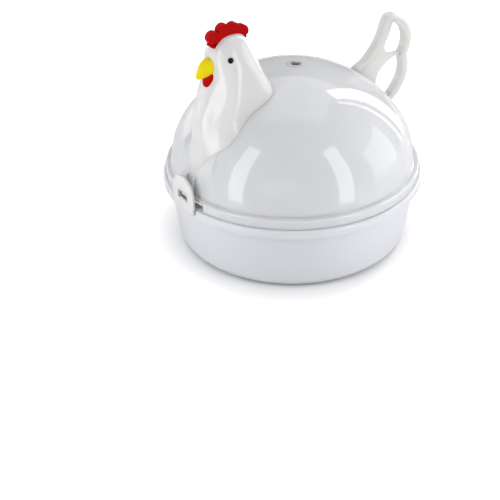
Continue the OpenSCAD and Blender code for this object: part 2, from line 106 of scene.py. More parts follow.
def closed_spline(points: Sequence[Sequence[float]], steps: int) -> Array:
    """Carry a smooth closed line through points.

    Between neighbours b and c, with a before and d after, the line is
    (2b + (c-a)t + (2a-5b+4c-d)t^2 + (3b-a-3c+d)t^3)/2 for t in 0..1.

    Args:
        points: the points to pass through.
        steps: steps between two points.

    Returns:
        The points of the line, len(points)*steps rows.
    """
    p = np.asarray(points, float)
    t = (np.arange(steps) / steps)[None, :, None]
    a, b, c, d = (np.roll(p, k, axis=0)[:, None, :] for k in (1, 0, -1, -2))
    line = 0.5 * (2 * b + (c - a) * t + (2 * a - 5 * b + 4 * c - d) * t**2
                  + (3 * b - a - 3 * c + d) * t**3)
    return line.reshape(-1, p.shape[1])


def even_steps(line: Array, count: int) -> Array:
    """Return count points at even distance along a closed line.

    Args:
        line: the points of a closed line.
        count: how many points to return.

    Returns:
        The points, count rows.
    """
    ring = np.vstack([line, line[:1]])
    run = np.concatenate([[0.0], np.cumsum(np.linalg.norm(np.diff(ring, axis=0), axis=1))])
    at = np.linspace(0.0, run[-1], count, endpoint=False)
    return np.stack([np.interp(at, run, ring[:, k]) for k in range(ring.shape[1])], axis=1)


def clean_line(line: Array, count: int) -> Array:
    """Return a closed line without repeated points, at even steps, its corners eased.

    Args:
        line: the points of a closed line.
        count: how many points to return.

    Returns:
        The points, count rows.
    """
    apart = np.linalg.norm(line - np.roll(line, 1, axis=0), axis=1) > 0.05
    clean = even_steps(line[apart], count)
    for _ in range(3):
        clean = (np.roll(clean, 1, axis=0) + 2 * clean + np.roll(clean, -1, axis=0)) / 4
    return clean


def inward(line: Array) -> Array:
    """Return the unit normals of a closed line drawn clockwise, pointing to its inside.

    Args:
        line: the points of a closed line.

    Returns:
        A unit normal for each point.
    """
    step = np.roll(line, -1, axis=0) - np.roll(line, 1, axis=0)
    side = np.stack([step[:, 1], -step[:, 0]], axis=1)
    return side / np.linalg.norm(side, axis=1)[:, None]


def hermite(rows: Sequence[Sequence[float]], at: Array) -> Array:
    """Read smooth values from rows whose first column is the station.

    Between stations p and q with slopes m0 and m1 the value is
    (2t^3-3t^2+1)p + (t^3-2t^2+t)m0 + (3t^2-2t^3)q + (t^3-t^2)m1.

    Args:
        rows: station and values, in rising order of station.
        at: stations to read, of any shape.

    Returns:
        The values, with one more axis than at.
    """
    r = np.asarray(rows, float)
    s, v = r[:, 0], r[:, 1:]
    i = np.clip(np.searchsorted(s, at, side="right") - 1, 0, len(s) - 2)
    low, high = np.maximum(np.arange(len(s)) - 1, 0), np.minimum(np.arange(len(s)) + 1, len(s) - 1)
    slope = (v[high] - v[low]) / (s[high] - s[low])[:, None]
    h = (s[i + 1] - s[i])[..., None]
    t = (np.asarray(at, float)[..., None] - s[i][..., None]) / h
    return ((2 * t**3 - 3 * t**2 + 1) * v[i] + (t**3 - 2 * t**2 + t) * slope[i] * h
            + (3 * t**2 - 2 * t**3) * v[i + 1] + (t**3 - t**2) * slope[i + 1] * h)


def quarter(r: float, n: int) -> tuple[Array, Array]:
    """Return r*(1 - sin a) and r*(1 - cos a) for n angles a from 0 to 90 degrees."""
    a = np.radians(np.linspace(0, 90, n))
    return r * (1 - np.sin(a)), r * (1 - np.cos(a))


def with_x(x: Array | float, yz: Array) -> Array:
    """Put x before the y and z of each point."""
    return np.concatenate([np.broadcast_to(x, yz.shape[:-1])[..., None], yz], axis=-1)


def grid_faces(rows: int, cols: int, wrap_rows: bool, wrap_cols: bool) -> Array:
    """Return the quads of a grid of rows by cols points, closed round where asked.

    Args:
        rows: rows of points.
        cols: points in a row.
        wrap_rows: whether the last row joins the first.
        wrap_cols: whether the last column joins the first.

    Returns:
        Four point numbers a row.
    """
    a = np.arange(rows if wrap_rows else rows - 1)
    b = np.arange(cols if wrap_cols else cols - 1)
    i, j = np.meshgrid(a, b, indexing="ij")
    i2, j2 = (i + 1) % rows, (j + 1) % cols
    return np.stack([i * cols + j, i2 * cols + j, i2 * cols + j2, i * cols + j2],
                    axis=-1).reshape(-1, 4)


def weld(points: Array, quads: Array) -> tuple[Array, list[list[int]]]:
    """Join points that lie on each other, and make quads with two joined corners triangles.

    Args:
        points: points in millimetres.
        quads: four point numbers a row.

    Returns:
        The remaining points and the faces.
    """
    _, first, back = np.unique(np.round(points, 4), axis=0, return_index=True, return_inverse=True)
    q = back.reshape(-1)[quads]
    same = q == np.roll(q, -1, axis=1)
    whole = ~same.any(axis=1) & (q[:, 0] != q[:, 2]) & (q[:, 1] != q[:, 3])
    once = (same.sum(axis=1) == 1) & (q[:, 0] != q[:, 2]) & (q[:, 1] != q[:, 3])
    drop = np.argmax(same, axis=1)
    keep = (drop[:, None] + np.array([1, 2, 3])) % 4
    tris = np.take_along_axis(q, keep, axis=1)[once]
    return points[first], q[whole].tolist() + tris.tolist()


def place(name: str, data: bpy.types.ID) -> Piece:
    """Make an object of a mesh, a lamp or a camera at the world origin and link it.

    Args:
        name: name of the object.
        data: what it shows.

    Returns:
        The object.
    """
    obj = bpy.data.objects.new(name, data)
    bpy.context.scene.collection.objects.link(obj)
    return obj


def shade(name: str, mesh: bpy.types.Mesh, sharp: float) -> Piece:
    """Shade a mesh smooth, keep edges that bend more than sharp degrees, and place it.

    Args:
        name: name of the piece.
        mesh: its mesh.
        sharp: the angle in degrees.

    Returns:
        The piece.
    """
    mesh.shade_smooth()
    mesh.set_sharp_from_angle(angle=math.radians(sharp))
    mesh.update()
    return place(name, mesh)


def make_mesh(name: str, points: Array, faces: Sequence[Sequence[int]],
              sharp: float = 34.0) -> Piece:
    """Make a smooth-shaded mesh object at the world origin, faces outward.

    The signed volume is the sum of a.(b x c)/6 over each face's fan; where it is
    negative, every face is turned round.

    Args:
        name: name of the piece.
        points: points in millimetres.
        faces: point numbers of each face.
        sharp: edges that bend more than this angle in degrees stay sharp.

    Returns:
        The new object, linked to the scene.
    """
    p = np.asarray(points, float) * MM
    fans = np.array([(f[0], f[k], f[k + 1]) for f in faces for k in range(1, len(f) - 1)])
    c = p - p.mean(axis=0)
    volume = np.einsum("ij,ij->i", c[fans[:, 0]], np.cross(c[fans[:, 1]], c[fans[:, 2]])).sum()
    if volume < 0.0:
        faces = [f[::-1] for f in faces]
    mesh = bpy.data.meshes.new(name)
    mesh.from_pydata(p.tolist(), [], faces)
    mesh.validate()
    return shade(name, mesh, sharp)


def capped(parts: Sequence[Array]) -> tuple[Array, list[list[int]]]:
    """Join grids that are closed round, each with a face over its first and last row.

    Args:
        parts: grids of rows by columns by 3 points.

    Returns:
        All points and faces.
    """
    points, faces, base = [], [], 0
    for part in parts:
        rows, cols = part.shape[:2]
        ring = np.arange(cols) + base
        points.append(part.reshape(-1, 3))
        faces += (grid_faces(rows, cols, False, True) + base).tolist()
        faces += [ring[::-1].tolist(), (ring + (rows - 1) * cols).tolist()]
        base += rows * cols
    return np.vstack(points), faces


def make_grid(name: str, grid: Array, wrap_rows: bool = False, wrap_cols: bool = False,
              caps: bool = False, sharp: float = 34.0) -> Piece:
    """Make a piece from a grid of points.

    Args:
        name: name of the piece.
        grid: rows by columns by 3, millimetres.
        wrap_rows: whether the last row joins the first.
        wrap_cols: whether the last column joins the first.
        caps: whether the last column joins the first and a face closes both end rows.
        sharp: edges that bend more than this angle in degrees stay sharp.

    Returns:
        The new object.
    """
    if caps:
        return make_mesh(name, *capped([grid]), sharp)
    quads = grid_faces(*grid.shape[:2], wrap_rows, wrap_cols)
    return make_mesh(name, *weld(grid.reshape(-1, 3), quads), sharp)


def spin(profile: Array, angles: Array) -> Array:
    """Carry a profile round Z: (r*sin(a), -r*cos(a), z), so a = 0 is the hen's front.

    Args:
        profile: [r, z] points.
        angles: angles in radians.

    Returns:
        len(angles) by len(profile) by 3 points.
    """
    r, z = profile[None, :, 0], profile[None, :, 1]
    a = angles[:, None]
    return np.stack([r * np.sin(a), -r * np.cos(a), z + 0 * a], axis=-1)


def whole_turn(n: int) -> Array:
    """Return n angles of one turn in radians."""
    return np.linspace(0, 2 * math.pi, n, endpoint=False)


def ring_plate(outer: Array, inner: Array, thick: float, round_r: float) -> Array:
    """Carry a rounded strip round a plate with one hole.

    At each step round the plate the strip runs from the hole's edge to the outer
    edge on one face, round the outer edge by a quarter circle at each corner, and
    back on the other face.

    Args:
        outer: outer line, n by 2.
        inner: hole line with the same number of points.
        thick: thickness of the plate.
        round_r: radius of its edges.

    Returns:
        n by m by 3 points: the two plate coordinates and the height.
    """
    way = outer - inner
    way = way / np.linalg.norm(way, axis=1)[:, None]
    draw, reach = quarter(round_r, 5)
    edge = np.stack([draw, thick / 2 - reach], axis=1)
    hole_side = np.vstack([edge[::-1], edge * [1, -1]])
    outer_side = hole_side[::-1]
    inside = inner[:, None, :] + way[:, None, :] * hole_side[None, :, :1]
    outside = outer[:, None, :] - way[:, None, :] * outer_side[None, :, :1]
    flat = np.concatenate([inside, outside], axis=1)
    height = -np.concatenate([hole_side[:, 1], outer_side[:, 1]])
    return np.concatenate([flat, np.broadcast_to(height, flat.shape[:2])[..., None]], axis=2)


def round_bar(x0: float, x1: float, section: Array, round_r: float) -> Array:
    """Carry a convex section along X, drawn in by a quarter circle at both ends.

    Args:
        x0: first end.
        x1: second end.
        section: [y, z] points in order.
        round_r: radius of the end edges.

    Returns:
        rows by len(section) by 3 points.
    """
    draw, reach = quarter(round_r, 5)
    x = np.concatenate([x0 + reach, x1 - reach[::-1]])
    cut = np.concatenate([draw, draw[::-1]])[:, None, None]
    away = section - section.mean(axis=0)
    size = np.linalg.norm(away, axis=1)[None, :, None]
    rows = section[None] - away[None] / size * np.minimum(cut, size * 0.9)
    return with_x(x[:, None], rows)


def soften(corners: Sequence[Sequence[float]], r: float, n: int = 5) -> Array:
    """Round each corner of a closed polygon.

    Between s and e, which lie r (but no more than 0.45 of the side) before and after
    the corner p, the line is (1-t)^2*s + 2t(1-t)*p + t^2*e for t in 0..1.

    Args:
        corners: the corners in order.
        r: how far before a corner the rounding starts.
        n: points for each corner.

    Returns:
        The points of the line, len(corners)*n rows.
    """
    p = np.asarray(corners, float)
    ends = []
    for turn in (1, -1):
        way = np.roll(p, turn, axis=0) - p
        size = np.linalg.norm(way, axis=1)[:, None]
        ends.append(p + way / size * np.minimum(r, size * 0.45))
    s, e = ends
    t = np.linspace(0, 1, n)[None, :, None]
    line = (1 - t)**2 * s[:, None] + 2 * t * (1 - t) * p[:, None] + t**2 * e[:, None]
    return line.reshape(-1, 2)


# Shader nodes and the effects that the finishes share


def fill(tree: Tree, node: Node, inputs: dict) -> None:
    """Give a node's inputs what they are joined to or, where it is no socket, their value.

    Args:
        tree: the tree that the node is in.
        node: the node.
        inputs: sockets or values by input.
    """
    for key, value in inputs.items():
        if isinstance(value, bpy.types.NodeSocket):
            tree.links.new(value, node.inputs[key])
        else:
            node.inputs[key].default_value = value


def add_node(tree: Tree, kind: str, inputs: dict | None = None, **settings: object) -> Node:
    """Add a shader node.

    Args:
        tree: the tree that takes it.
        kind: its type without ShaderNode.
        inputs: sockets or values by input.
        settings: properties of the node, set before its inputs.

    Returns:
        The node.
    """
    node = tree.nodes.new(f"ShaderNode{kind}")
    for name, value in settings.items():
        setattr(node, name, value)
    fill(tree, node, inputs or {})
    return node


def reckon(tree: Tree, operation: str, a: object, b: object) -> object:
    """Return the output of a Math node; a and b are sockets or numbers."""
    return add_node(tree, "Math", {0: a, 1: b}, operation=operation).outputs[0]


def noise(tree: Tree, vector: object, scale: object, detail: float) -> object:
    """Return the factor of a Noise Texture node."""
    inputs = {"Detail": detail, "Vector": vector, "Scale": scale}
    return add_node(tree, "TexNoise", inputs).outputs["Fac"]


def blend(tree: Tree, factor: object, a: object, b: object) -> object:
    """Return the mix of two colours by a factor."""
    inputs = {"Factor": factor, "A": a, "B": b}
    return add_node(tree, "Mix", inputs, data_type="RGBA").outputs["Result"]


def swing(tree: Tree, value: object, middle: float, spread: object, around: object) -> object:
    """Return around + (value - middle)*spread."""
    off = reckon(tree, "MULTIPLY", reckon(tree, "SUBTRACT", value, middle), spread)
    return reckon(tree, "ADD", around, off)


class Effects:
    """Node groups that several finishes use, each built once."""

    flow_scale = 70.0
    wave_scale = 45.0
    peel_share = 0.25
    tarnish_scale = 40.0

    def __init__(self) -> None:
        """Build the groups."""
        self.moulded = self._moulded()
        self.spun = self._spun()

    @staticmethod
    def _group(name: str, own: Sequence[str]) -> tuple[Tree, object, Node]:
        """Start a group that puts out a colour, a roughness and a height.

        Args:
            name: name of the group.
            own: its number inputs besides those that every effect has.

        Returns:
            The group, its input sockets by name and its output node.
        """
        tree = bpy.data.node_groups.new(name, "ShaderNodeTree")
        for way, kind, labels in (("INPUT", "Vector", ("Vector",)),
                                  ("INPUT", "Color", ("Base", "Second")),
                                  ("INPUT", "Float", ("Roughness", "Spread", *own)),
                                  ("OUTPUT", "Color", ("Color",)),
                                  ("OUTPUT", "Float", ("Roughness", "Height"))):
            for label in labels:
                tree.interface.new_socket(name=label, in_out=way, socket_type=f"NodeSocket{kind}")
        return tree, tree.nodes.new("NodeGroupInput").outputs, tree.nodes.new("NodeGroupOutput")

    def _moulded(self) -> Tree:
        """Moulded plastic: slow clouds in the colour, flow marks in the gloss, fine orange peel.

        Returns:
            The group.
        """
        tree, ins, out = self._group("moulded_plastic_surface",
                                     ("Cloud Amount", "Cloud Scale", "Peel Scale"))
        where = ins["Vector"]
        slow = noise(tree, where, ins["Cloud Scale"], 3.0)
        flow = noise(tree, where, self.flow_scale, 4.0)
        peel = noise(tree, where, ins["Peel Scale"], 2.0)
        wave = noise(tree, where, self.wave_scale, 1.0)
        cloud = reckon(tree, "MULTIPLY", slow, ins["Cloud Amount"])
        fill(tree, out, {
            "Color": blend(tree, cloud, ins["Base"], ins["Second"]),
            "Roughness": swing(tree, flow, 0.5, ins["Spread"], ins["Roughness"]),
            "Height": reckon(tree, "ADD", reckon(tree, "MULTIPLY", peel, self.peel_share), wave)})
        return tree

    def _spun(self) -> Tree:
        """Spun sheet metal: fine rings round Z from a noise read at sqrt(x*x + y*y) + z.

        Returns:
            The group.
        """
        tree, ins, out = self._group("spun_metal_surface", ("Rings",))
        x, y, z = add_node(tree, "SeparateXYZ", {0: ins["Vector"]}).outputs
        square = reckon(tree, "ADD", reckon(tree, "MULTIPLY", x, x), reckon(tree, "MULTIPLY", y, y))
        where = reckon(tree, "ADD", reckon(tree, "SQRT", square, 0.0), z)
        ring = add_node(tree, "TexNoise", {
            "W": reckon(tree, "MULTIPLY", where, ins["Rings"]), "Scale": 1.0, "Detail": 3.0,
        }, noise_dimensions="1D").outputs["Fac"]
        mix = reckon(tree, "MULTIPLY", ring, noise(tree, ins["Vector"], self.tarnish_scale, 3.0))
        fill(tree, out, {
            "Color": blend(tree, mix, ins["Base"], ins["Second"]),
            "Roughness": swing(tree, mix, 0.25, ins["Spread"], ins["Roughness"]),
            "Height": ring})
        return tree


def start_material(name: str) -> tuple[bpy.types.Material, Tree, Node]:
    """Make a node material and return it, its tree and its Principled node.

    Args:
        name: name of the material.

    Returns:
        The material, its tree and the node.
    """
    mat = bpy.data.materials.new(name)
    mat.use_nodes = True
    return mat, mat.node_tree, mat.node_tree.nodes["Principled BSDF"]


@dataclass(frozen=True)
class Finish:
    """What every finish has: its record slot, two colours, its gloss and its bump."""

    name: str
    slot: str
    base: Color
    second: Color
    roughness: float = 0.2
    spread: float = 0.25
    bump: float = 0.06
    bump_height: float = 0.0002

    def look(self, effects: Effects) -> tuple[Tree, dict, dict]:
        """Return the effect to lay, the further values it takes and the shader's own values."""
        raise NotImplementedError

    def material(self, effects: Effects) -> bpy.types.Material:
        """Build the node material, its effect read at Object coordinates.

        Args:
            effects: the shared node groups.

        Returns:
            The material.
        """
        mat, tree, shader = start_material(self.name)
        group, more, own = self.look(effects)
        effect = add_node(tree, "Group", {
            "Vector": add_node(tree, "TexCoord").outputs["Object"],
            "Base": (*self.base, 1), "Second": (*self.second, 1),
            "Roughness": self.roughness, "Spread": self.spread, **more,
        }, node_tree=group).outputs
        bump = add_node(tree, "Bump", {"Strength": self.bump, "Distance": self.bump_height,
                                       "Height": effect["Height"]})
        fill(tree, shader, {"Base Color": effect["Color"], "Roughness": effect["Roughness"],
                            "Normal": bump.outputs["Normal"], **own})
        return mat


@dataclass(frozen=True)
class Moulding(Finish):
    """A moulded plastic finish; milk is the share of light that scatters below the skin."""

    roughness: float = 0.14
    spread: float = 0.08
    bump: float = 0.02
    bump_height: float = 0.0004
    cloud_amount: float = 0.5
    cloud_scale: float = 22.0
    peel_scale: float = 900.0
    index: float = 1.49
    specular: float = 0.5
    milk: float = 0.0
    milk_tint: Color = (1.0, 1.0, 0.9)
    depth: float = 0.004

    def look(self, effects: Effects) -> tuple[Tree, dict, dict]:
        """Return the moulded effect, its values and the values of a milky plastic.

        Args:
            effects: the shared node groups.

        Returns:
            The group and both sets of values.
        """
        more = {"Cloud Amount": self.cloud_amount, "Cloud Scale": self.cloud_scale,
                "Peel Scale": self.peel_scale}
        own = {"IOR": self.index, "Specular IOR Level": self.specular,
               "Subsurface Weight": self.milk, "Subsurface Radius": self.milk_tint,
               "Subsurface Scale": self.depth}
        return effects.moulded, more, own


@dataclass(frozen=True)
class SheetMetal(Finish):
    """A spun and polished sheet metal finish."""

    rings: float = 2500.0

    def look(self, effects: Effects) -> tuple[Tree, dict, dict]:
        """Return the spun effect, its values and the value of a metal."""
        return effects.spun, {"Rings": self.rings}, {"Metallic": 1.0}


@dataclass
class Finishes:
    """All finishes of the cooker, made once and handed out by name."""

    effects: Effects = field(default_factory=Effects)
    table: dict[str, tuple[bpy.types.Material, str]] = field(default_factory=dict)

    def __post_init__(self) -> None:
        """Build every material."""
        for finish in (
            Moulding("lid_white", "white_plastic", (0.67, 0.675, 0.69), (0.63, 0.635, 0.65),
                     roughness=0.07, milk=0.4),
            Moulding("base_white", "white_plastic", (0.69, 0.70, 0.735), (0.66, 0.67, 0.705),
                     roughness=0.3, spread=0.1),
            Moulding("flap_white", "white_plastic", (0.74, 0.745, 0.72), (0.70, 0.705, 0.67),
                     milk=0.4),
            Moulding("neck_white", "ivory_plastic", (0.72, 0.72, 0.715), (0.68, 0.68, 0.675),
                     roughness=0.16, milk=0.4),
            Moulding("handle_white", "ivory_plastic", (0.67, 0.67, 0.66), (0.63, 0.632, 0.62),
                     roughness=0.2, milk=1.0, depth=0.009),
            Moulding("comb_red", "red_plastic", (0.46, 0.0, 0.0), (0.40, 0.0, 0.0),
                     roughness=0.55, specular=0.06),
            Moulding("beak_yellow", "yellow_plastic", (0.80, 0.66, 0.002), (0.74, 0.58, 0.0),
                     roughness=0.45, specular=0.15),
            Moulding("eye_black", "black_plastic", (0.006, 0.006, 0.007), (0.010, 0.010, 0.012),
                     roughness=0.12, specular=0.2),
            SheetMetal("pan_aluminium", "aluminium", (0.82, 0.83, 0.85), (0.66, 0.67, 0.69)),
            SheetMetal("tray_aluminium", "aluminium", (0.80, 0.81, 0.83), (0.62, 0.63, 0.65),
                       rings=1800.0, roughness=0.28),
            SheetMetal("liner_aluminium", "aluminium", (0.78, 0.79, 0.81), (0.60, 0.61, 0.63),
                       rings=2000.0, roughness=0.3),
            SheetMetal("screw_steel", "screw_steel", (0.56, 0.56, 0.57), (0.42, 0.42, 0.43),
                       rings=6000.0, roughness=0.3),
        ):
            self.table[finish.name] = (finish.material(self.effects), finish.slot)

    def settle(self, obj: Piece, finish: str, body: Body, *nodes: str) -> None:
        """Dress a piece, let it ride on its body, replace its CAD nodes and report it.

        Args:
            obj: the finished piece.
            finish: name of its finish, which also brings its record slot.
            body: the body that it moves with.
            nodes: the CAD nodes that it stands for.
        """
        mat, slot = self.table[finish]
        obj.data.materials.append(mat)
        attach(obj, body.value)
        if nodes:
            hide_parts(*nodes)
        log.info("%s: %d faces on %s", obj.name, len(obj.data.polygons), body.value)

    def repaint_node(self, node: Piece, name: str) -> None:
        """Put a finish on every material slot of a CAD node that stays.

        Args:
            node: the CAD node.
            name: name of the finish.
        """
        mat, _ = self.table[name]
        for held in node.material_slots:
            held.material = mat


# The lid's outer form, which several pieces sit on


@dataclass
class DomeForm:
    """The oval of the lid: a crown arc and a shoulder arc that meet with one tangent."""

    radius: float = 74.6
    height: float = 60.6
    shoulder: float = 48.0
    ledge: float = 49.1

    @property
    def apex(self) -> float:
        """Height of the top of the lid above the table."""
        return self.ledge + self.height

    def arcs(self, d: float) -> tuple[float, float, float, float]:
        """Return the crown radius, its centre height, the shoulder radius and the joint angle.

        With a = radius - d, b = height - d and r1 = shoulder - d, the crown radius is
        ((a-r1)^2 + b^2 - r1^2)/(2*(b-r1)).

        Args:
            d: how far the form is set in.

        Returns:
            The three radii and heights, and the angle.
        """
        a, b, r1 = self.radius - d, self.height - d, self.shoulder - d
        r2 = ((a - r1)**2 + b * b - r1 * r1) / (2 * (b - r1))
        zc = self.ledge + b - r2
        return r2, zc, r1, math.degrees(math.atan2(self.ledge - zc, a - r1))

    def line(self, d: float, hole: float, n: int) -> Array:
        """Return [r, z] points from the hole in the crown down to the ledge, set in by d.

        Args:
            d: how far the line is set in.
            hole: radius that it starts at.
            n: points for each of the two arcs.

        Returns:
            The points of the line.
        """
        r2, zc, r1, joint = self.arcs(d)
        top = math.degrees(math.acos(hole / r2))
        crown = arc(0, zc, r2, top, joint, n)
        side = arc(self.radius - d - r1, self.ledge, r1, joint, 0, n)
        return np.vstack([crown, side[1:]])

    def depth(self, p: Array) -> tuple[Array, Array]:
        """Measure how far points lie outside the dome, and the way out.

        Above the line from the crown's centre through the shoulder's centre the
        distance is |p - crown centre| - r2, below it |p - shoulder circle| - r1.

        Args:
            p: points, the last axis x, y, z.

        Returns:
            Distances, negative inside, and unit normals.
        """
        r2, zc, r1, _ = self.arcs(0.0)
        away = self.radius - r1
        r = np.hypot(p[..., 0], p[..., 1])
        z = p[..., 2]
        crown = (away * (z - zc) - (self.ledge - zc) * r) > 0
        cr = np.where(crown, 0.0, away)
        cz = np.where(crown, zc, self.ledge)
        dr, dz = r - cr, np.maximum(z, self.ledge) - cz
        size = np.maximum(np.hypot(dr, dz), 1e-9)
        turn = p[..., :2] / np.maximum(r, 1e-9)[..., None]
        normal = np.concatenate([turn * (dr / size)[..., None], (dz / size)[..., None]], axis=-1)
        return size - np.where(crown, r2, r1), normal

    def lift(self, p: Array, depth: float) -> Array:
        """Move points that lie deeper than depth below the surface out to that depth.

        Args:
            p: points, the last axis x, y, z.
            depth: how deep a point may lie.

        Returns:
            The moved points.
        """
        far, normal = self.depth(p)
        move = np.where(far < -depth, -depth - far, 0.0)
        return p + normal * move[..., None]

    def height_at(self, x: Array, y: Array) -> Array:
        """Return the height of the dome's surface over x, y.

        Args:
            x: places across the cooker.
            y: places along it.

        Returns:
            The height over each place.
        """
        r2, zc, r1, joint = self.arcs(0.0)
        r = np.hypot(x, y)
        away = self.radius - r1
        meet = r2 * math.cos(math.radians(joint))
        crown = zc + np.sqrt(np.maximum(r2 * r2 - r * r, 0.0))
        side = self.ledge + np.sqrt(np.maximum(r1 * r1 - (r - away)**2, 0.0))
        return np.where(r < meet, crown, side)


def notch_angles(half: float, at: float, inside: int, outside: int) -> tuple[Array, Array, Array]:
    """Spread columns round the cooker, with doubled ones at the edges of two notches.

    Args:
        half: half width of a notch.
        at: radius at which the half width is measured.
        inside: columns in a notch.
        outside: columns between the notches.

    Returns:
        The angle of each column, whether it is cut, and its fixed sideways place,
        which is nan outside the notches.
    """
    edge = math.asin(half / at)
    within = np.linspace(-half, half, inside)
    a_in = np.arcsin(within / at)
    rest = np.linspace(edge, math.pi - edge, outside)
    angle = np.concatenate([a_in, rest, math.pi + a_in, math.pi + rest])
    cut = np.concatenate([np.ones(inside, bool), np.zeros(outside, bool)] * 2)
    blank = np.full(outside, np.nan)
    blank[0], blank[-1] = half, half
    lock = np.concatenate([within, blank, -within, -blank])
    return angle, cut, lock


def notched_spin(profile: Array, angle: Array, lock: Array, start: float, full: float) -> Array:
    """Carry a profile round Z with columns in a notch kept at one sideways place.

    x = r*sin(a) away from a notch; in it x goes over to the locked place as r grows
    from start to full, and y = -+sqrt(r*r - x*x).

    Args:
        profile: [r, z] points.
        angle: angle of each column.
        lock: locked sideways place of each column or nan.
        start: radius at which the locking begins.
        full: radius from which it holds.

    Returns:
        columns by len(profile) by 3 points.
    """
    grid = spin(profile, angle)
    r = np.broadcast_to(profile[None, :, 0], grid.shape[:2])
    w = smoothstep(start, full, r) * ~np.isnan(lock)[:, None]
    x = grid[..., 0] * (1 - w) + np.nan_to_num(lock)[:, None] * w
    y = np.sign(-np.cos(angle))[:, None] * np.sqrt(np.maximum(r * r - x * x, 0.0))
    return np.stack([x, np.where(w > 0, y, grid[..., 1]), grid[..., 2]], axis=-1)


# Sub-assemblies


class SubAssembly:
    """A group of pieces that are made, dressed and settled in one order."""

    def pieces(self) -> Iterator[tuple]:
        """Yield each piece with its finish, its body and the CAD nodes that it stands for."""
        raise NotImplementedError

    def build(self, finishes: Finishes) -> None:
        """Make every piece and settle it."""
        for obj, finish, body, *nodes in self.pieces():
            finishes.settle(obj, finish, body, *nodes)


@dataclass
class Base(SubAssembly):
    """The bowl, the pan in it and the tray in the pan."""

    top: float = 43.3
    flange_r: float = 80.0
    lip: float = 5.0
    wall_top_r: float = 76.2
    wall_foot_r: float = 71.8
    wall: float = 2.3
    foot_round: float = 6.5
    seat_r: float = 69.4
    flap_w: float = 22.0
    land_y: float = 78.4
    lean_y: float = 77.95
    land_z: float = 41.8
    pan_r: float = 66.6
    pan_wall: float = 0.9
    rim_w: float = 7.4
    rim_h: float = 2.3
    pan_round: float = 12.0
    pan_floor: float = 3.1
    flap_gap: float = 0.6
    lock_from: float = 60.0
    lock_full: float = 70.0
    land_fill: float = 2.1
    notch_columns: int = 13
    columns: int = 120
    pan_columns: int = 240

    def bowl_profile(self) -> Array:
        """Return the [r, z] section of the bowl, round from the middle of its underside.

        Returns:
            The points of the section.
        """
        f, r, w = self.foot_round, self.wall_foot_r, self.wall_top_r
        top, low, out = self.top, self.top - self.lip, self.flange_r
        return np.vstack([
            [[0.0, 0.0], [30.0, 0.0]], arc(r - f, f, f, -90, 2, 12),
            [[w, low + 0.6], [w + 0.1, top - 2.9]], arc(w + 0.8, top - 2.9, 0.7, 180, 90, 4),
            arc(out - 2.9, top - 2.9, 0.7, 90, 0, 4), arc(out - 1.75, low + 0.45, 0.45, 180, 270, 4),
            arc(out - 0.6, low + 0.6, 0.6, 270, 360, 5), arc(out - 1.4, top - 1.4, 1.4, 0, 90, 7),
            arc(self.seat_r + 0.4, top - 0.4, 0.4, 90, 180, 4),
            [[self.seat_r, top - 2.4], [w - self.wall, low - 1]],
            arc(r - f, f, f - self.wall, 0, -80, 10), [[30.0, self.wall], [0.0, self.wall]]])

    def build_bowl(self) -> Piece:
        """Spin the bowl, cut flat behind each flap, with the hinge land below the flange.

        Returns:
            The piece.
        """
        half = self.flap_w / 2 + self.flap_gap
        angle, cut, lock = notch_angles(half, self.flange_r, self.notch_columns, self.columns)
        grid = notched_spin(self.bowl_profile(), angle, lock, self.lock_from, self.lock_full)
        x, y, z = np.moveaxis(grid, -1, 0)
        hinge = cut[:, None] & (np.hypot(x, y) > self.wall_top_r - 0.5)
        foot = self.top - self.lip
        z = np.where(hinge & (z > foot - 0.01) & (z < self.top - self.land_fill), foot, z)
        reach = np.where(z > self.land_z, self.lean_y, self.land_y)
        y = np.where(hinge, np.clip(y, -reach, reach), y)
        return make_grid("base_bowl_shell", np.stack([x, y, z], axis=-1), wrap_rows=True)

    def pan_profile(self) -> Array:
        """Return the section of the pan: floor, round corner, wall, arched rim, rolled edge.

        Returns:
            The points of the section.
        """
        w, out = self.pan_wall, self.pan_r + self.pan_wall
        cx, cz = out - self.pan_round - 2, self.pan_floor + self.pan_round
        cr = ((self.rim_w / 2)**2 + self.rim_h**2) / (2 * self.rim_h)
        rc, rz = self.pan_r + self.rim_w / 2, self.top + self.rim_h - cr
        a = math.degrees(math.asin((self.top - rz) / cr))
        b = math.degrees(math.asin((self.top - rz) / (cr - w)))
        return np.vstack([
            [[0, self.pan_floor], [20, self.pan_floor]], arc(cx, cz, self.pan_round, -90, -4, 20),
            [[out, self.top - 1.2]], arc(rc, rz, cr - w, 180 - b, b, 16),
            arc(rc, rz, cr, a, 180 - a, 24), [[self.pan_r, self.top - 1.2]],
            arc(cx, cz, self.pan_round - w, -4, -90, 20),
            [[20, self.pan_floor + w], [0, self.pan_floor + w]]])

    def pieces(self) -> Iterator[tuple]:
        """Yield the bowl and the pan.

        Returns:
            Piece, finish, body and nodes, one piece at a time.
        """
        yield self.build_bowl(), "base_white", Body.BASE, "base_bowl"
        sheet = spin(self.pan_profile(), whole_turn(self.pan_columns))
        pan = make_grid("inner_pan_sheet", sheet, wrap_rows=True)
        yield pan, "pan_aluminium", Body.BASE, "inner_pan"


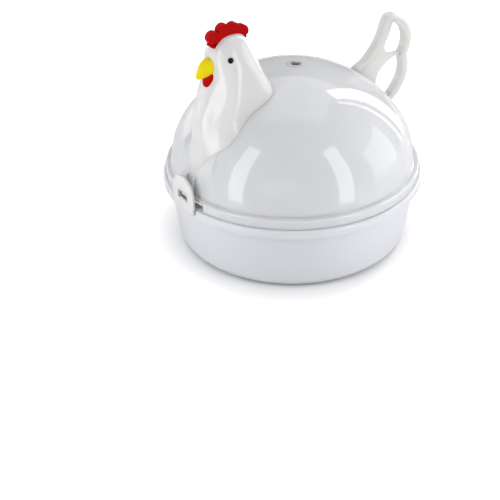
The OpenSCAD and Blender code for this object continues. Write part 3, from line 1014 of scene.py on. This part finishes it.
@dataclass
class LatchFlap(SubAssembly):
    """One slotted flap of the base, upright at rest."""

    side: Side
    width: float = 22.0
    length: float = 20.5
    thick: float = 1.8
    edge: float = 0.45
    foot: float = -0.3
    hinge_y: float = 79.6
    hinge_z: float = 41.0
    pin_edge: float = 0.3
    pressed: float = 9.4
    slot_w: float = 9.4
    slot_h: float = 4.8
    slot_up: float = 8.0
    steps: int = 160

    def inner_face(self, z: float) -> float:
        """Return how far out the inner face lies at height z when the flap is pressed in."""
        lean = math.tan(math.radians(self.pressed))
        return self.hinge_y - self.thick / 2 - (z - self.hinge_z) * lean

    def outline(self, n: int) -> Array:
        """Return the D-shaped outline: straight sides up from the hinge, a half circle on top.

        Args:
            n: how many points to return.

        Returns:
            [x, z] points, z from the hinge.
        """
        d = self.width / 2
        top = arc(0, self.length - d, d, 180, 0, 40)
        foot = np.linspace([d, self.foot], [-d, self.foot], 20)
        return even_steps(np.vstack([foot[-1:], top, foot[:-1]]), n)

    def slot_line(self, around: Array) -> Array:
        """Return the slot's outline with one point in line with each point of the outer line.

        The place on the slot's box is centre + u*k with k = min((w/2)/|ux|, (h/2)/|uz|),
        where u is the way from the slot's middle.

        Args:
            around: points of the outer line.

        Returns:
            The slot's points.
        """
        middle = np.array([0.0, self.slot_up])
        u = around - middle
        u = u / np.linalg.norm(u, axis=1)[:, None]
        half = np.array([self.slot_w / 2, self.slot_h / 2])
        k = np.min(half / np.maximum(np.abs(u), 1e-6), axis=1)
        return middle + u * k[:, None]

    def pieces(self) -> Iterator[tuple]:
        """Yield the flap and its hinge pin.

        Returns:
            Piece, finish, body and nodes, one piece at a time.
        """
        s, name = self.side.value, self.side.name.lower()
        body = Body.FRONT_FLAP if self.side is Side.FRONT else Body.REAR_FLAP
        outer = self.outline(self.steps)
        plate = ring_plate(outer, self.slot_line(outer), self.thick, self.edge)
        grid = np.stack([plate[..., 0] * -s, s * (self.hinge_y + plate[..., 2]),
                         self.hinge_z + plate[..., 1]], axis=-1)
        flap = make_grid(f"{name}_flap_plate", grid, wrap_rows=True, wrap_cols=True)
        yield flap, "flap_white", body, f"{name}_latch_flap"
        roll = arc(0, 0, self.thick / 2, 0, 360, 25)[:-1] + [s * self.hinge_y, self.hinge_z]
        bar = round_bar(-self.width / 2, self.width / 2, roll, self.pin_edge)
        yield make_grid(f"{name}_flap_hinge", bar, caps=True), "flap_white", body


@dataclass
class Lid(SubAssembly):
    """The domed lid with its ledge, skirt, latch lugs, vent bush and liner."""

    dome: DomeForm
    skirt_r: float = 78.0
    wall: float = 2.4
    ledge_t: float = 2.2
    low: float = 43.45
    notch_half: float = 15.5
    notch_gap: float = 0.9
    lock_from: float = 58.0
    lock_full: float = 70.0
    crown_r: float = 30.0
    vent_y: float = 2.6
    vent_d: float = 10.4
    vent_hole_d: float = 6.7
    vent_cut_r: float = 4.3
    lug_half: float = 4.2
    lug_low: float = 47.2
    lug_high: float = 50.6
    lug_tip: float = 78.3
    lug_root: float = 73.0
    lug_depth: float = 1.2
    rib_top: float = 59.5
    rib_half: float = 0.6
    rib_gap: float = 0.5
    liner_gap: float = 3.0
    liner_t: float = 0.8
    liner_cut_r: float = 4.2
    liner_flange: float = 3.2
    notch_columns: int = 21
    columns: int = 150
    vent_columns: int = 96
    liner_columns: int = 200

    def profile(self) -> Array:
        """Return the [r, z] section of the lid, round from the vent over the outside and back.

        Returns:
            The points of the section.
        """
        d, s = self.dome, self.skirt_r
        top = d.line(0.0, self.vent_cut_r, 60)
        edge = np.vstack([
            arc(d.radius + 0.6, d.ledge + 0.6, 0.6, 180, 270, 6),
            arc(s - 0.9, d.ledge - 0.9, 0.9, 90, 0, 7),
            [[s, 46.0]], arc(s - 0.4, self.low + 0.4, 0.4, 0, -90, 4),
            arc(s - 1.7, self.low + 0.3, 0.3, -90, -180, 3),
            [[s - 2, d.ledge - self.ledge_t], [d.radius - self.wall, d.ledge - self.ledge_t]]])
        back = d.line(self.wall, self.vent_cut_r, 40)[::-1]
        top[-1, 1] += 0.6
        return np.vstack([top, edge, back])

    def draw_crown(self, r: Array, hole: float) -> Array:
        """Return how far the crown is drawn towards the vent: vent_y*(1 - smoothstep(r))."""
        return self.vent_y * (1 - smoothstep(hole, self.crown_r, r))

    def build_dome(self) -> Piece:
        """Spin the lid round a vent that lies behind the middle, with its two notches.

        In a notch, points below the ledge's underside rise to it, and |y| stays
        within the dome's radius + notch_gap. The crown is drawn towards the vent.

        Returns:
            The piece.
        """
        angle, cut, lock = notch_angles(self.notch_half, self.skirt_r, self.notch_columns,
                                        self.columns)
        profile = self.profile()
        grid = notched_spin(profile, angle, lock, self.lock_from, self.lock_full)
        x, y, z = np.moveaxis(grid, -1, 0)
        r = np.hypot(x, y)
        reach = self.dome.radius + self.notch_gap
        hit = cut[:, None] & (r > self.lock_full)
        shift = self.draw_crown(r, self.vent_cut_r)
        y = np.where(hit, np.clip(y, -reach, reach), y) + shift
        z = np.where(hit, np.maximum(z, self.dome.ledge - self.ledge_t), z)
        drop = np.where(np.arange(len(profile)) > len(profile) // 2, self.wall, 0.0)
        z = np.where(shift > 0, self.dome.height_at(x, y) - drop, z)
        grid = np.stack([x, y, z], axis=-1)
        return make_grid("lid_dome_shell", grid, wrap_rows=True, wrap_cols=True)

    def build_lug(self, side: Side) -> Piece:
        """Make a latch lug with the two ribs that run from it up the dome.

        The ribs stay rib_gap behind the pressed flap's inner face.

        Args:
            side: the end of the cooker that it sits at.

        Returns:
            The lug.
        """
        tip, low, high, root = self.lug_tip, self.lug_low, self.lug_high, self.lug_root
        flap = LatchFlap(side)
        near, far = (flap.inner_face(z) - self.rib_gap for z in (high, self.rib_top))
        lug = soften([[root, low], [tip - 0.6, low], [tip, low + 0.6], [tip, high - 1.6],
                      [tip - 1.4, high], [root, high]], 0.5) * [side.value, 1]
        rib = soften([[root - 1, high - 1], [near, high - 1], [near, high], [far, self.rib_top],
                      [root - 3, self.rib_top + 2], [root - 5, 56.0]], 0.6) * [side.value, 1]
        half, mid = self.rib_half, self.lug_half - self.rib_half
        points, faces = capped([round_bar(-self.lug_half, self.lug_half, lug, 0.35),
                                round_bar(-mid - half, -mid + half, rib, 0.3),
                                round_bar(mid - half, mid + half, rib, 0.3)])
        points = self.dome.lift(points, self.lug_depth)
        return make_mesh(f"lid_lug_{side.name.lower()}", points, faces, 40.0)

    def build_vent(self) -> Piece:
        """Spin the vent bush: rounded flange on top, a tube, a collar under the liner.

        Returns:
            The piece.
        """
        top = self.dome.apex
        low = top - self.wall - self.liner_gap - self.liner_t - 0.1
        rf, rh, rt = self.vent_d / 2 - 0.1, self.vent_hole_d / 2, self.vent_hole_d / 2 + 0.8
        section = np.vstack([
            arc(rh + 0.35, top + 0.05, 0.35, 180, 90, 5), arc(rf - 0.4, top, 0.4, 90, 0, 5),
            [[rf, top - 0.6], [rt, top - 0.6], [rt, low - 0.4]],
            arc(rf - 0.3, low - 0.7, 0.3, 90, 0, 4), arc(rf - 0.3, low - 1.3, 0.3, 0, -90, 4),
            arc(rh + 0.3, low - 1.3, 0.3, -90, -180, 4)])
        grid = spin(section, whole_turn(self.vent_columns))
        grid[..., 1] += self.vent_y
        return make_grid("vent_bush_ring", grid, wrap_rows=True, wrap_cols=True)

    def build_liner(self) -> Piece:
        """Spin the metal liner: dome sheet with a flat flange at its foot.

        Returns:
            The piece.
        """
        d, t = self.wall + self.liner_gap, self.liner_t
        outer = self.dome.line(d, self.liner_cut_r, 40)
        inner = self.dome.line(d + t, self.liner_cut_r, 40)[::-1]
        z, rim = self.dome.ledge - self.ledge_t, self.skirt_r - self.liner_flange
        flange = [[self.dome.radius - d, z], [rim, z], [rim, z - t], [self.dome.radius - d - t, z - t]]
        grid = spin(np.vstack([outer, flange, inner]), whole_turn(self.liner_columns))
        grid[..., 1] += self.draw_crown(np.hypot(grid[..., 0], grid[..., 1]), self.liner_cut_r)
        return make_grid("lid_liner_sheet", grid, wrap_rows=True, wrap_cols=True)

    def pieces(self) -> Iterator[tuple]:
        """Yield the dome, the lugs, the vent bush and the liner.

        Returns:
            Piece, finish, body and nodes, one piece at a time.
        """
        yield self.build_dome(), "lid_white", Body.LID, "lid_dome"
        for side in Side:
            yield self.build_lug(side), "lid_white", Body.LID
        yield self.build_vent(), "handle_white", Body.LID, "vent_bush"
        yield self.build_liner(), "liner_aluminium", Body.LID, "lid_liner"


@dataclass
class NeckAndHead(SubAssembly):
    """The hollow neck with the head, comb, beak, wattle and eyes."""

    dome: DomeForm
    half_w: float = 20.0
    flute: float = 0.75
    flute_low: float = 66.0
    flute_high: float = 124.0
    flute_fade: float = 16.0
    rows: tuple = ((56, -44, 29.2, 1.06), (65, -43.6, 28.4, 1.11), (76, -42.5, 26.2, 1.11),
                   (86, -42.7, 26, 0.98), (95, -42.7, 25.2, 0.9), (105, -41.6, 22.2, 0.92),
                   (112, -42.2, 18.4, 0.86), (119, -43, 15.9, 0.775), (125, -44, 14.4, 0.69),
                   (130, -45, 13, 0.6), (134, -44.9, 11.2, 0.49), (137.4, -44.4, 8.6, 0.37),
                   (139.5, -44.2, 5.2, 0.21), (140.2, -44.3, 1.8, 0.06))
    square: float = 2.35
    foot_depth: float = 1.2
    foot_range: tuple[float, float] = (56.0, 116.0)
    columns: int = 220
    small_columns: int = 48
    comb_lobes: tuple = ((-55.3, 139.8, 3.9), (-48.6, 142.7, 4.0), (-41.9, 142.0, 4.0),
                         (-36.3, 139.9, 3.7))
    comb_ends: tuple = ((-59.2, 139.4), (-33.1, 138.2))
    comb_root: tuple = ((-34.0, 136.6), (-38.4, 138.2), (-46.6, 138.4), (-50.4, 136.6),
                        (-52.4, 134.4), (-55.0, 133.9), (-57.4, 134.8), (-58.8, 136.6))
    comb_t: float = 5.0
    comb_round: float = 0.5
    beak_rows: tuple = ((-4, -54, 123.2, 5.8, 4.9), (0, -58, 123.2, 5.6, 4.5),
                        (3, -61, 122.6, 4.8, 3.8), (5.6, -63.6, 121.4, 3.6, 2.9),
                        (7.6, -65.6, 119.9, 2.2, 1.8), (8.8, -66.8, 119.0, 1.1, 1.0),
                        (9.2, -67.1, 118.8, 0.02, 0.02))
    beak_lean: float = 0.35
    beak_pinch: float = 0.12
    wattle_rows: tuple = ((111.9, -60.62, 0.05, 0.05), (112.1, -60.6, 0.9, 0.9),
                          (112.6, -60.4, 1.8, 1.8), (114, -59.9, 2.7, 2.9),
                          (116, -59.2, 3.1, 3.9), (118.5, -58.4, 3.2, 4.4),
                          (121, -57.5, 2.6, 3.6))
    eye_d: float = 3.2
    eye_at: tuple[float, float, float] = (11.15, -51.5, 129.0)
    eye_lean: float = 70.0
    eye_way: float = -23.0

    def ring(self, z: Array, t: Array) -> Array:
        """Return points of the neck at heights z and angles t.

        x = sign(cos t)*|cos t|^e*(b + g) and y = c + sign(sin t)*|sin t|^e*(a + g) with
        e = 2/square, middle c, half depth a and half width b from the rows, and soft
        ridges g = flute*fade(z)*cos(6*(t + 90)).

        Args:
            z: heights.
            t: angles in radians.

        Returns:
            The points, the last axis x, y, z.
        """
        v = hermite(self.rows, z)
        mid, a, b = v[..., 0], v[..., 1], v[..., 2] * self.half_w
        fade = (np.clip((z - self.flute_low) / self.flute_fade, 0, 1)
                * np.clip((self.flute_high - z) / self.flute_fade, 0, 1))
        g = self.flute * fade * np.cos(6 * (t + math.pi / 2))
        c, s, e = np.cos(t), np.sin(t), 2 / self.square
        return np.stack([np.sign(c) * np.abs(c)**e * (b + g),
                         mid + np.sign(s) * np.abs(s)**e * (a + g), z], axis=-1)

    def foot_heights(self, t: Array) -> Array:
        """Find by halving where the neck's surface meets the dome at each angle.

        Args:
            t: angles in radians.

        Returns:
            The height at each angle.
        """
        low, high = (np.full_like(t, z) for z in self.foot_range)
        for _ in range(40):
            z = (low + high) / 2
            p = self.ring(z, t)
            above = z > self.dome.height_at(p[..., 0], p[..., 1])
            high = np.where(above, z, high)
            low = np.where(above, low, z)
        return high

    def build_neck(self) -> Piece:
        """Make the neck's skin from its foot on the dome to the top of the head.

        The grid is ring(z0 + s*(top - z0), t) for s in 0..1, with a lip that is
        turned in below the dome's surface.

        Returns:
            The piece.
        """
        t = whole_turn(self.columns)
        foot = self.foot_heights(t)
        s = np.concatenate([np.linspace(0, 0.92, 130), np.linspace(0.92, 1, 50)[1:]])
        z = foot[None, :] + s[:, None] * (self.rows[-1][0] - foot)[None, :]
        skin = self.ring(z, np.broadcast_to(t, z.shape))
        sunk = self.ring(foot - 1.0, t)[None]
        turned = self.dome.lift(sunk + (skin[0].mean(axis=0) - sunk) * 0.08, self.foot_depth)
        grid = np.concatenate([turned, sunk, skin])
        return make_grid("neck_and_head_skin", grid, caps=True, sharp=50.0)

    def comb_line(self) -> Array:
        """Return the comb's outline: an arc a lobe, cut where neighbours meet, then the root.

        Two circles with centres a, b and radii p, q meet d*t + h*n from a, where d is
        the way from a to b, t = (1 + (p^2 - q^2)/|d|^2)/2 and h = sqrt(p^2 - |d|^2*t^2).

        Returns:
            [y, z] points of the outline.
        """
        lobes = np.asarray(self.comb_lobes)
        centre, r = lobes[:, :2], lobes[:, 2]
        d = np.diff(centre, axis=0)
        size = np.linalg.norm(d, axis=1)
        t = (1 + (r[:-1]**2 - r[1:]**2) / size**2) / 2
        h = np.sqrt(r[:-1]**2 - (size * t)**2) / size
        meet = centre[:-1] + d * t[:, None] + np.stack([-d[:, 1], d[:, 0]], axis=1) * h[:, None]
        ends = np.vstack([self.comb_ends[:1], meet, self.comb_ends[1:]])
        first, last = ends[:-1] - centre, ends[1:] - centre
        a0 = np.degrees(np.arctan2(first[:, 1], first[:, 0])) % 360
        a1 = np.degrees(np.arctan2(last[:, 1], last[:, 0]))
        arcs = [arc(*lobe, *turn, 60) for lobe, turn in zip(lobes, zip(a0, a1))]
        return np.vstack([*arcs, soften(self.comb_root, 1.2)])

    def build_comb(self) -> Piece:
        """Make the comb: two flat faces with a round edge of comb_round along the outline.

        Returns:
            The piece.
        """
        line = even_steps(self.comb_line(), 420)
        draw, reach = quarter(self.comb_round, 7)
        out = self.comb_t / 2 - reach
        depth = np.concatenate([draw, draw[::-1][1:]])
        x = np.concatenate([out, -out[::-1][1:]])
        yz = line[None] + inward(line)[None] * depth[:, None, None]
        return make_grid("comb_lobes", with_x(x[:, None], yz), caps=True, sharp=60.0)

    def build_beak(self) -> Piece:
        """Loft the beak through rings that lean with it, rounded at the tip.

        A ring is x = w*cos t*(1 - pinch*max(-sin t, 0)), y = c - lean*h*sin t and
        z = m + h*sin t, with c, m, half width w and half height h from the rows.

        Returns:
            The piece.
        """
        s = np.concatenate([np.linspace(-4, 8.6, 40), np.linspace(8.65, 9.2, 10)])
        y, z, h, w = np.moveaxis(hermite(self.beak_rows, s), -1, 0)[:, :, None]
        t = whole_turn(self.small_columns)
        pinch = 1 - self.beak_pinch * np.clip(-np.sin(t), 0, 1)
        grid = np.stack([np.maximum(w, 0.01) * np.cos(t) * pinch,
                         y - self.beak_lean * h * np.sin(t), z + h * np.sin(t)], axis=-1)
        return make_grid("beak_form", grid, caps=True, sharp=60.0)

    def build_wattle(self) -> Piece:
        """Loft the wattle through level rings: (w*cos t, c + d*sin t, z) with w, c, d from the rows.

        Returns:
            The piece.
        """
        s = np.concatenate([np.linspace(111.9, 112.3, 6), np.linspace(112.5, 121, 30)])
        y, d, w = np.moveaxis(hermite(self.wattle_rows, s), -1, 0)[:, :, None]
        t = whole_turn(self.small_columns)
        grid = np.stack([np.maximum(w, 0.03) * np.cos(t), y + np.maximum(d, 0.03) * np.sin(t),
                         s[:, None] + 0 * t], axis=-1)
        return make_grid("wattle_form", grid, caps=True, sharp=60.0)

    def build_eye(self, hand: Hand) -> Piece:
        """Spin a low bead about the eye's own axis and lay it on the head.

        Args:
            hand: the side of the head.

        Returns:
            The bead.
        """
        r, left = self.eye_d / 2, hand is Hand.LEFT
        bead = np.vstack([[[0.0, 0.9]], arc(0, -2.0, 2.9, 82, 56, 8),
                          [[r, 0.25], [r - 0.1, -0.6], [0.0, -0.6]]])
        bead[1:-3, 0] = np.minimum(bead[1:-3, 0], r)
        way = math.radians(self.eye_way if left else 180 - self.eye_way)
        lean = Matrix.Rotation(math.radians(self.eye_lean), 3, "Y")
        tilt = np.array(Matrix.Rotation(way, 3, "Z") @ lean)
        place_at = np.array(self.eye_at) * [hand.value, 1, 1]
        grid = spin(bead, whole_turn(self.small_columns)) @ tilt.T + place_at
        return make_grid(f"{hand.name.lower()}_eye_bead", grid, wrap_rows=True, sharp=50.0)

    def pieces(self) -> Iterator[tuple]:
        """Yield the neck, comb, beak, wattle and both eyes.

        Returns:
            Piece, finish, body and nodes, one piece at a time.
        """
        yield self.build_neck(), "neck_white", Body.LID, "neck_and_head"
        yield self.build_comb(), "comb_red", Body.LID, "comb"
        yield self.build_beak(), "beak_yellow", Body.LID, "beak"
        yield self.build_wattle(), "comb_red", Body.LID, "wattle"
        for hand in Hand:
            yield self.build_eye(hand), "eye_black", Body.LID, f"{hand.name.lower()}_eye"


@dataclass
class TailHandle(SubAssembly):
    """The two-loop carrying handle: a web with a wide rim round it."""

    dome: DomeForm
    rim_w: float = 7.4
    rim_t: float = 3.8
    rim_round: float = 1.35
    web_t: float = 2.8
    line: tuple = ((43, 86), (49, 94.4), (56.6, 98.2), (63.8, 104.8), (68.4, 111.4), (71, 117.8),
                   (73.4, 122.8), (78.4, 125), (86, 121.6), (91.7, 116), (94.8, 109.4),
                   (95.3, 103.6), (94, 98), (92.2, 94.6), (93.4, 90.6), (93.7, 84.6), (92, 77.8),
                   (87.3, 70.6), (80, 64.6), (66, 58), (50, 66))
    low_hole: tuple = ((71.2, 74), (68, 77.4), (67.7, 82.6), (70, 87.6), (74.4, 91.4),
                       (80.4, 94.2), (87, 95.4), (98, 91), (97, 80), (88, 69), (77.6, 70.4))
    high_hole: tuple = ((82.4, 97.4), (77, 98.8), (74, 101.8), (74.2, 105.4), (77.4, 111.8),
                        (80.2, 118.6), (86, 122), (97, 114), (98, 102), (90.6, 97.4))
    steps: int = 12
    hole_steps: int = 14
    rows: int = 420
    hole_rows: int = 240
    search_rows: int = 900
    sunk: float = 1.3
    web_edge: float = 0.35
    overlap: float = 0.9

    def thick(self, y: Array) -> Array:
        """Return the rim's thickness at y: rim_t*(1 + 0.3*clip((y - 76)/12, 0, 1))."""
        return self.rim_t * (1 + 0.3 * np.clip((y - 76) / 12, 0, 1))

    def build_rim(self) -> Piece:
        """Carry a rounded box round the outline; what lies in the dome stays in its wall.

        Returns:
            The piece.
        """
        path = even_steps(closed_spline(self.line, self.steps), self.rows)
        r, w, t = self.rim_round, self.rim_w / 2, self.rim_t
        section = np.vstack([arc(w - r, t - r, r, 0, 90, 8), arc(r - w, t - r, r, 90, 180, 8),
                             arc(r - w, r, r, 180, 270, 8), arc(w - r, r, r, 270, 360, 8)])
        grow = self.thick(path[:, 0])[:, None, None] / t
        yz = path[:, None, :] + inward(path)[:, None, :] * section[None, :, 1:] * grow
        grid = self.dome.lift(with_x(section[None, :, 0], yz), self.sunk)
        return make_grid("tail_handle_rim", grid, wrap_rows=True, wrap_cols=True, sharp=50.0)

    def web_line(self) -> Array:
        """Return the web's outline, half the rim's thickness inside the line.

        Returns:
            [y, z] points of the outline.
        """
        line = closed_spline(self.line, self.steps)
        line = line + inward(line) * self.thick(line[:, :1]) / 2
        return clean_line(self.dome.lift(with_x(0.0, line), self.sunk)[:, 1:], self.rows)

    def hole_line(self, points: Sequence[Sequence[float]]) -> Array:
        """Return a finger hole's line, kept inside the rim's inner face.

        A point beyond the rim's middle is drawn back onto the line that runs
        overlap outside the rim's inner face.

        Args:
            points: points that the hole's line passes through.

        Returns:
            The line.
        """
        hole = closed_spline(points, self.hole_steps)
        ring = even_steps(closed_spline(self.line, self.steps), self.search_rows)
        ring = ring + inward(ring) * (self.thick(ring[:, :1]) - self.overlap)
        near = np.argmin(((hole[:, None, :] - ring[None])**2).sum(axis=2), axis=1)
        outside = np.einsum("ij,ij->i", hole - ring[near], inward(ring)[near]) < 0
        return clean_line(np.where(outside[:, None], ring[near], hole), self.hole_rows)

    def build_web(self) -> Piece:
        """Fill the outline round the two finger holes and give it thickness and round edges.

        Round each line run rows from face to face at x = web_t/2 - web_edge*(1 - cos a),
        drawn into the web by web_edge*(1 - sin a). Triangles fill both faces between
        the first rows.

        Returns:
            The piece.
        """
        draw, reach = quarter(self.web_edge, 4)
        half = self.web_t / 2
        step = np.stack([draw, half - reach], axis=1)
        step = np.vstack([step, (step * [1, -1])[::-1]])
        points, faces, level, loops, count = [], [], [], [], 0
        for line, way in ((self.web_line(), 1.0), (self.hole_line(self.low_hole), -1.0),
                          (self.hole_line(self.high_hole), -1.0)):
            rows = with_x(step[:, 1:], line + way * inward(line) * step[:, :1, None])
            faces += (grid_faces(*rows.shape[:2], False, True) + count).tolist()
            loops.append(list(range(len(level), len(level) + len(line))))
            level += [Vector(p) for p in rows[0, :, 1:]]
            points.append(rows.reshape(-1, 3))
            count += len(points[-1])
        found, _, cap, *_ = delaunay_2d_cdt(level, [], loops, 2, 1e-5)
        for x in (half, -half):
            points.append(with_x(x, np.array([[v.x, v.y] for v in found])))
            faces += [[i + count for i in face] for face in cap]
            count += len(found)
        mesh = bpy.data.meshes.new("tail_handle_web")
        mesh.from_pydata((np.vstack(points) * MM).tolist(), [], faces)
        work = bmesh.new()
        work.from_mesh(mesh)
        bmesh.ops.remove_doubles(work, verts=work.verts, dist=0.002 * MM)
        bmesh.ops.recalc_face_normals(work, faces=work.faces)
        work.to_mesh(mesh)
        work.free()
        return shade("tail_handle_web", mesh, 40.0)

    def pieces(self) -> Iterator[tuple]:
        """Yield the rim and the web."""
        yield self.build_rim(), "handle_white", Body.LID, "tail_handle"
        yield self.build_web(), "handle_white", Body.LID


# Stage, lamps and camera


def toward(azimuth: float, elevation: float) -> Vector:
    """Return the unit way (sin a cos e, -cos a cos e, sin e)."""
    a, e = math.radians(azimuth), math.radians(elevation)
    return Vector((math.sin(a) * math.cos(e), -math.cos(a) * math.cos(e), math.sin(e)))


@dataclass(frozen=True)
class Lamp:
    """A soft rectangular lamp that faces the cooker.

    Its direction, width and height are in degrees as the cooker sees them, its
    distance is in metres. glow is the brightness of its face.
    """

    name: str
    azimuth: float
    elevation: float
    wide: float
    tall: float
    glow: float
    distance: float = 1.2

    def hang(self, aim: float) -> None:
        """Hang the lamp so that it faces the height aim; its power is glow*pi*area.

        Args:
            aim: the height in metres.
        """
        data = bpy.data.lights.new(self.name, "AREA")
        data.shape = "RECTANGLE"
        data.size = 2 * self.distance * math.tan(math.radians(self.wide / 2))
        data.size_y = 2 * self.distance * math.tan(math.radians(self.tall / 2))
        data.energy = self.glow * math.pi * data.size * data.size_y
        way = toward(self.azimuth, self.elevation)
        obj = place(self.name, data)
        obj.location = Vector((0, 0, aim)) + way * self.distance
        obj.rotation_euler = way.to_track_quat("Z", "Y").to_euler()
        obj.visible_camera = False


@dataclass
class Studio:
    """A pale floor, soft lamps and the camera of the photograph."""

    azimuth: float = 52.0
    elevation: float = 27.1
    distance: float = 0.6
    target: tuple[float, float, float] = (0.0, 0.0, 0.06)
    focal_px: float = 974.6
    centre_px: tuple[float, float] = (292.31, 139.4)
    frame_px: float = 500.0
    sensor: float = 36.0
    aim: float = 0.07
    lamps: tuple[Lamp, ...] = (
        Lamp("strip_left", 8.5, 12.0, 13.5, 66.0, 4.0, 0.24),
        Lamp("strip_right", 94.0, 12.0, 13.5, 66.0, 4.0, 0.24),
        Lamp("panel_back", 190.5, 24.0, 10.0, 56.0, 7.5),
        Lamp("panel_back_line", 178.5, 24.0, 2.5, 56.0, 4.0),
        Lamp("panel_far_left", 272.0, 8.0, 30.0, 50.0, 1.4),
        Lamp("panel_left", 318.0, 8.0, 34.0, 44.0, 1.3),
        Lamp("panel_right", 146.0, 8.0, 34.0, 44.0, 2.1),
        Lamp("panel_front", 44.0, 8.0, 34.0, 30.0, 0.7),
        Lamp("panel_top", 232.0, 70.0, 50.0, 50.0, 1.3))
    air: Color = (0.97, 0.98, 1.0)
    air_strength: float = 0.33
    floor_half: float = 1500.0
    floor_z: float = -0.3
    floor_points: int = 41
    paper: Color = (0.76, 0.76, 0.76)
    fibre: Color = (0.785, 0.785, 0.785)
    fibre_scale: float = 30.0
    paper_roughness: float = 0.6
    painted_shadow_reach: float = 0.035
    painted_shadow_full: float = 0.3
    glow: float = 0.58

    def camera(self) -> None:
        """Place the camera; lens = focal length in pixels / frame width * sensor width."""
        data = bpy.data.cameras.new("photo_camera")
        data.sensor_fit = "HORIZONTAL"
        data.sensor_width = self.sensor
        data.lens = self.focal_px / self.frame_px * self.sensor
        data.shift_x = (self.frame_px / 2 - self.centre_px[0]) / self.frame_px
        data.shift_y = (self.centre_px[1] - self.frame_px / 2) / self.frame_px
        data.clip_start = 0.01
        back = toward(self.azimuth, self.elevation)
        right = toward(self.azimuth + 90, 0.0)
        turn = Matrix((right, back.cross(right), back)).transposed().to_4x4()
        turn.translation = Vector(self.target) + back * self.distance
        cam = place("photo_camera", data)
        cam.matrix_world = turn
        bpy.context.scene.camera = cam

    def sky(self) -> None:
        """Set the air that lights the scene, and plain paper where the camera sees past the floor."""
        world = bpy.data.worlds.new("studio_air")
        world.use_nodes = True
        tree = world.node_tree
        air = tree.nodes["Background"]
        fill(tree, air, {"Color": (*self.air, 1), "Strength": self.air_strength})
        seen = add_node(tree, "Background", {"Strength": 1.0})
        camera_ray = add_node(tree, "LightPath").outputs["Is Camera Ray"]
        mix = add_node(tree, "MixShader", {0: camera_ray, 1: air.outputs[0], 2: seen.outputs[0]})
        fill(tree, tree.nodes["World Output"], {"Surface": mix.outputs[0]})
        bpy.context.scene.world = world

    def floor_material(self) -> bpy.types.Material:
        """Make white paper that adds a white glow for camera rays, less of it near the cooker, where
        ambient occlusion turns the missing glow into a painted contact shadow.

        Returns:
            The material.
        """
        mat, tree, shader = start_material("floor_paper")
        fibre = noise(tree, add_node(tree, "TexCoord").outputs["Object"], self.fibre_scale, 2.0)
        paper = blend(tree, fibre, (*self.paper, 1), (*self.fibre, 1))
        fill(tree, shader, {"Base Color": paper, "Roughness": self.paper_roughness})
        # Ambient occlusion dims the camera-ray glow near the cooker: a painted contact shadow on the
        # floor.
        near = add_node(tree, "AmbientOcclusion", {"Distance": self.painted_shadow_reach}).outputs["AO"]
        painted_shadow_fall = add_node(tree, "MapRange", {"Value": near, "From Min": self.painted_shadow_full,
                                           "From Max": 1.0, "To Max": self.glow})
        camera_ray = add_node(tree, "LightPath").outputs["Is Camera Ray"]
        strength = reckon(tree, "MULTIPLY", camera_ray, painted_shadow_fall.outputs["Result"])
        glow = add_node(tree, "Emission", {"Strength": strength})
        both = add_node(tree, "AddShader", {0: shader.outputs[0], 1: glow.outputs[0]})
        fill(tree, tree.nodes["Material Output"], {"Surface": both.outputs[0]})
        return mat

    def lay_floor(self) -> None:
        """Lay the pale floor as a square grid."""
        n = self.floor_points
        side = np.linspace(-self.floor_half, self.floor_half, n)
        x, y = np.meshgrid(side, side, indexing="ij")
        points = np.stack([x, y, np.full_like(x, self.floor_z)], axis=-1).reshape(-1, 3) * MM
        mesh = bpy.data.meshes.new("studio_floor")
        mesh.from_pydata(points.tolist(), [], grid_faces(n, n, False, False).tolist())
        mesh.materials.append(self.floor_material())
        floor = place("studio_floor", mesh)

    def build(self) -> None:
        """Set up camera, lamps, sky, floor and colour view."""
        self.camera()
        for lamp in self.lamps:
            lamp.hang(self.aim)
        self.sky()
        self.lay_floor()
        bpy.context.scene.view_settings.view_transform = "Standard"


def main() -> None:
    """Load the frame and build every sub-assembly."""
    logging.basicConfig(level=logging.INFO, format="%(message)s")
    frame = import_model()
    dome, finishes = DomeForm(), Finishes()
    Studio().build()
    for part in (Base(), LatchFlap(Side.FRONT), LatchFlap(Side.REAR), Lid(dome),
                 NeckAndHead(dome), TailHandle(dome)):
        part.build(finishes)
    finishes.repaint_node(frame["nodes"]["egg_tray"], "tray_aluminium")
    finishes.repaint_node(frame["nodes"]["neck_screws"], "screw_steel")


if __name__ == "__main__":
    main()
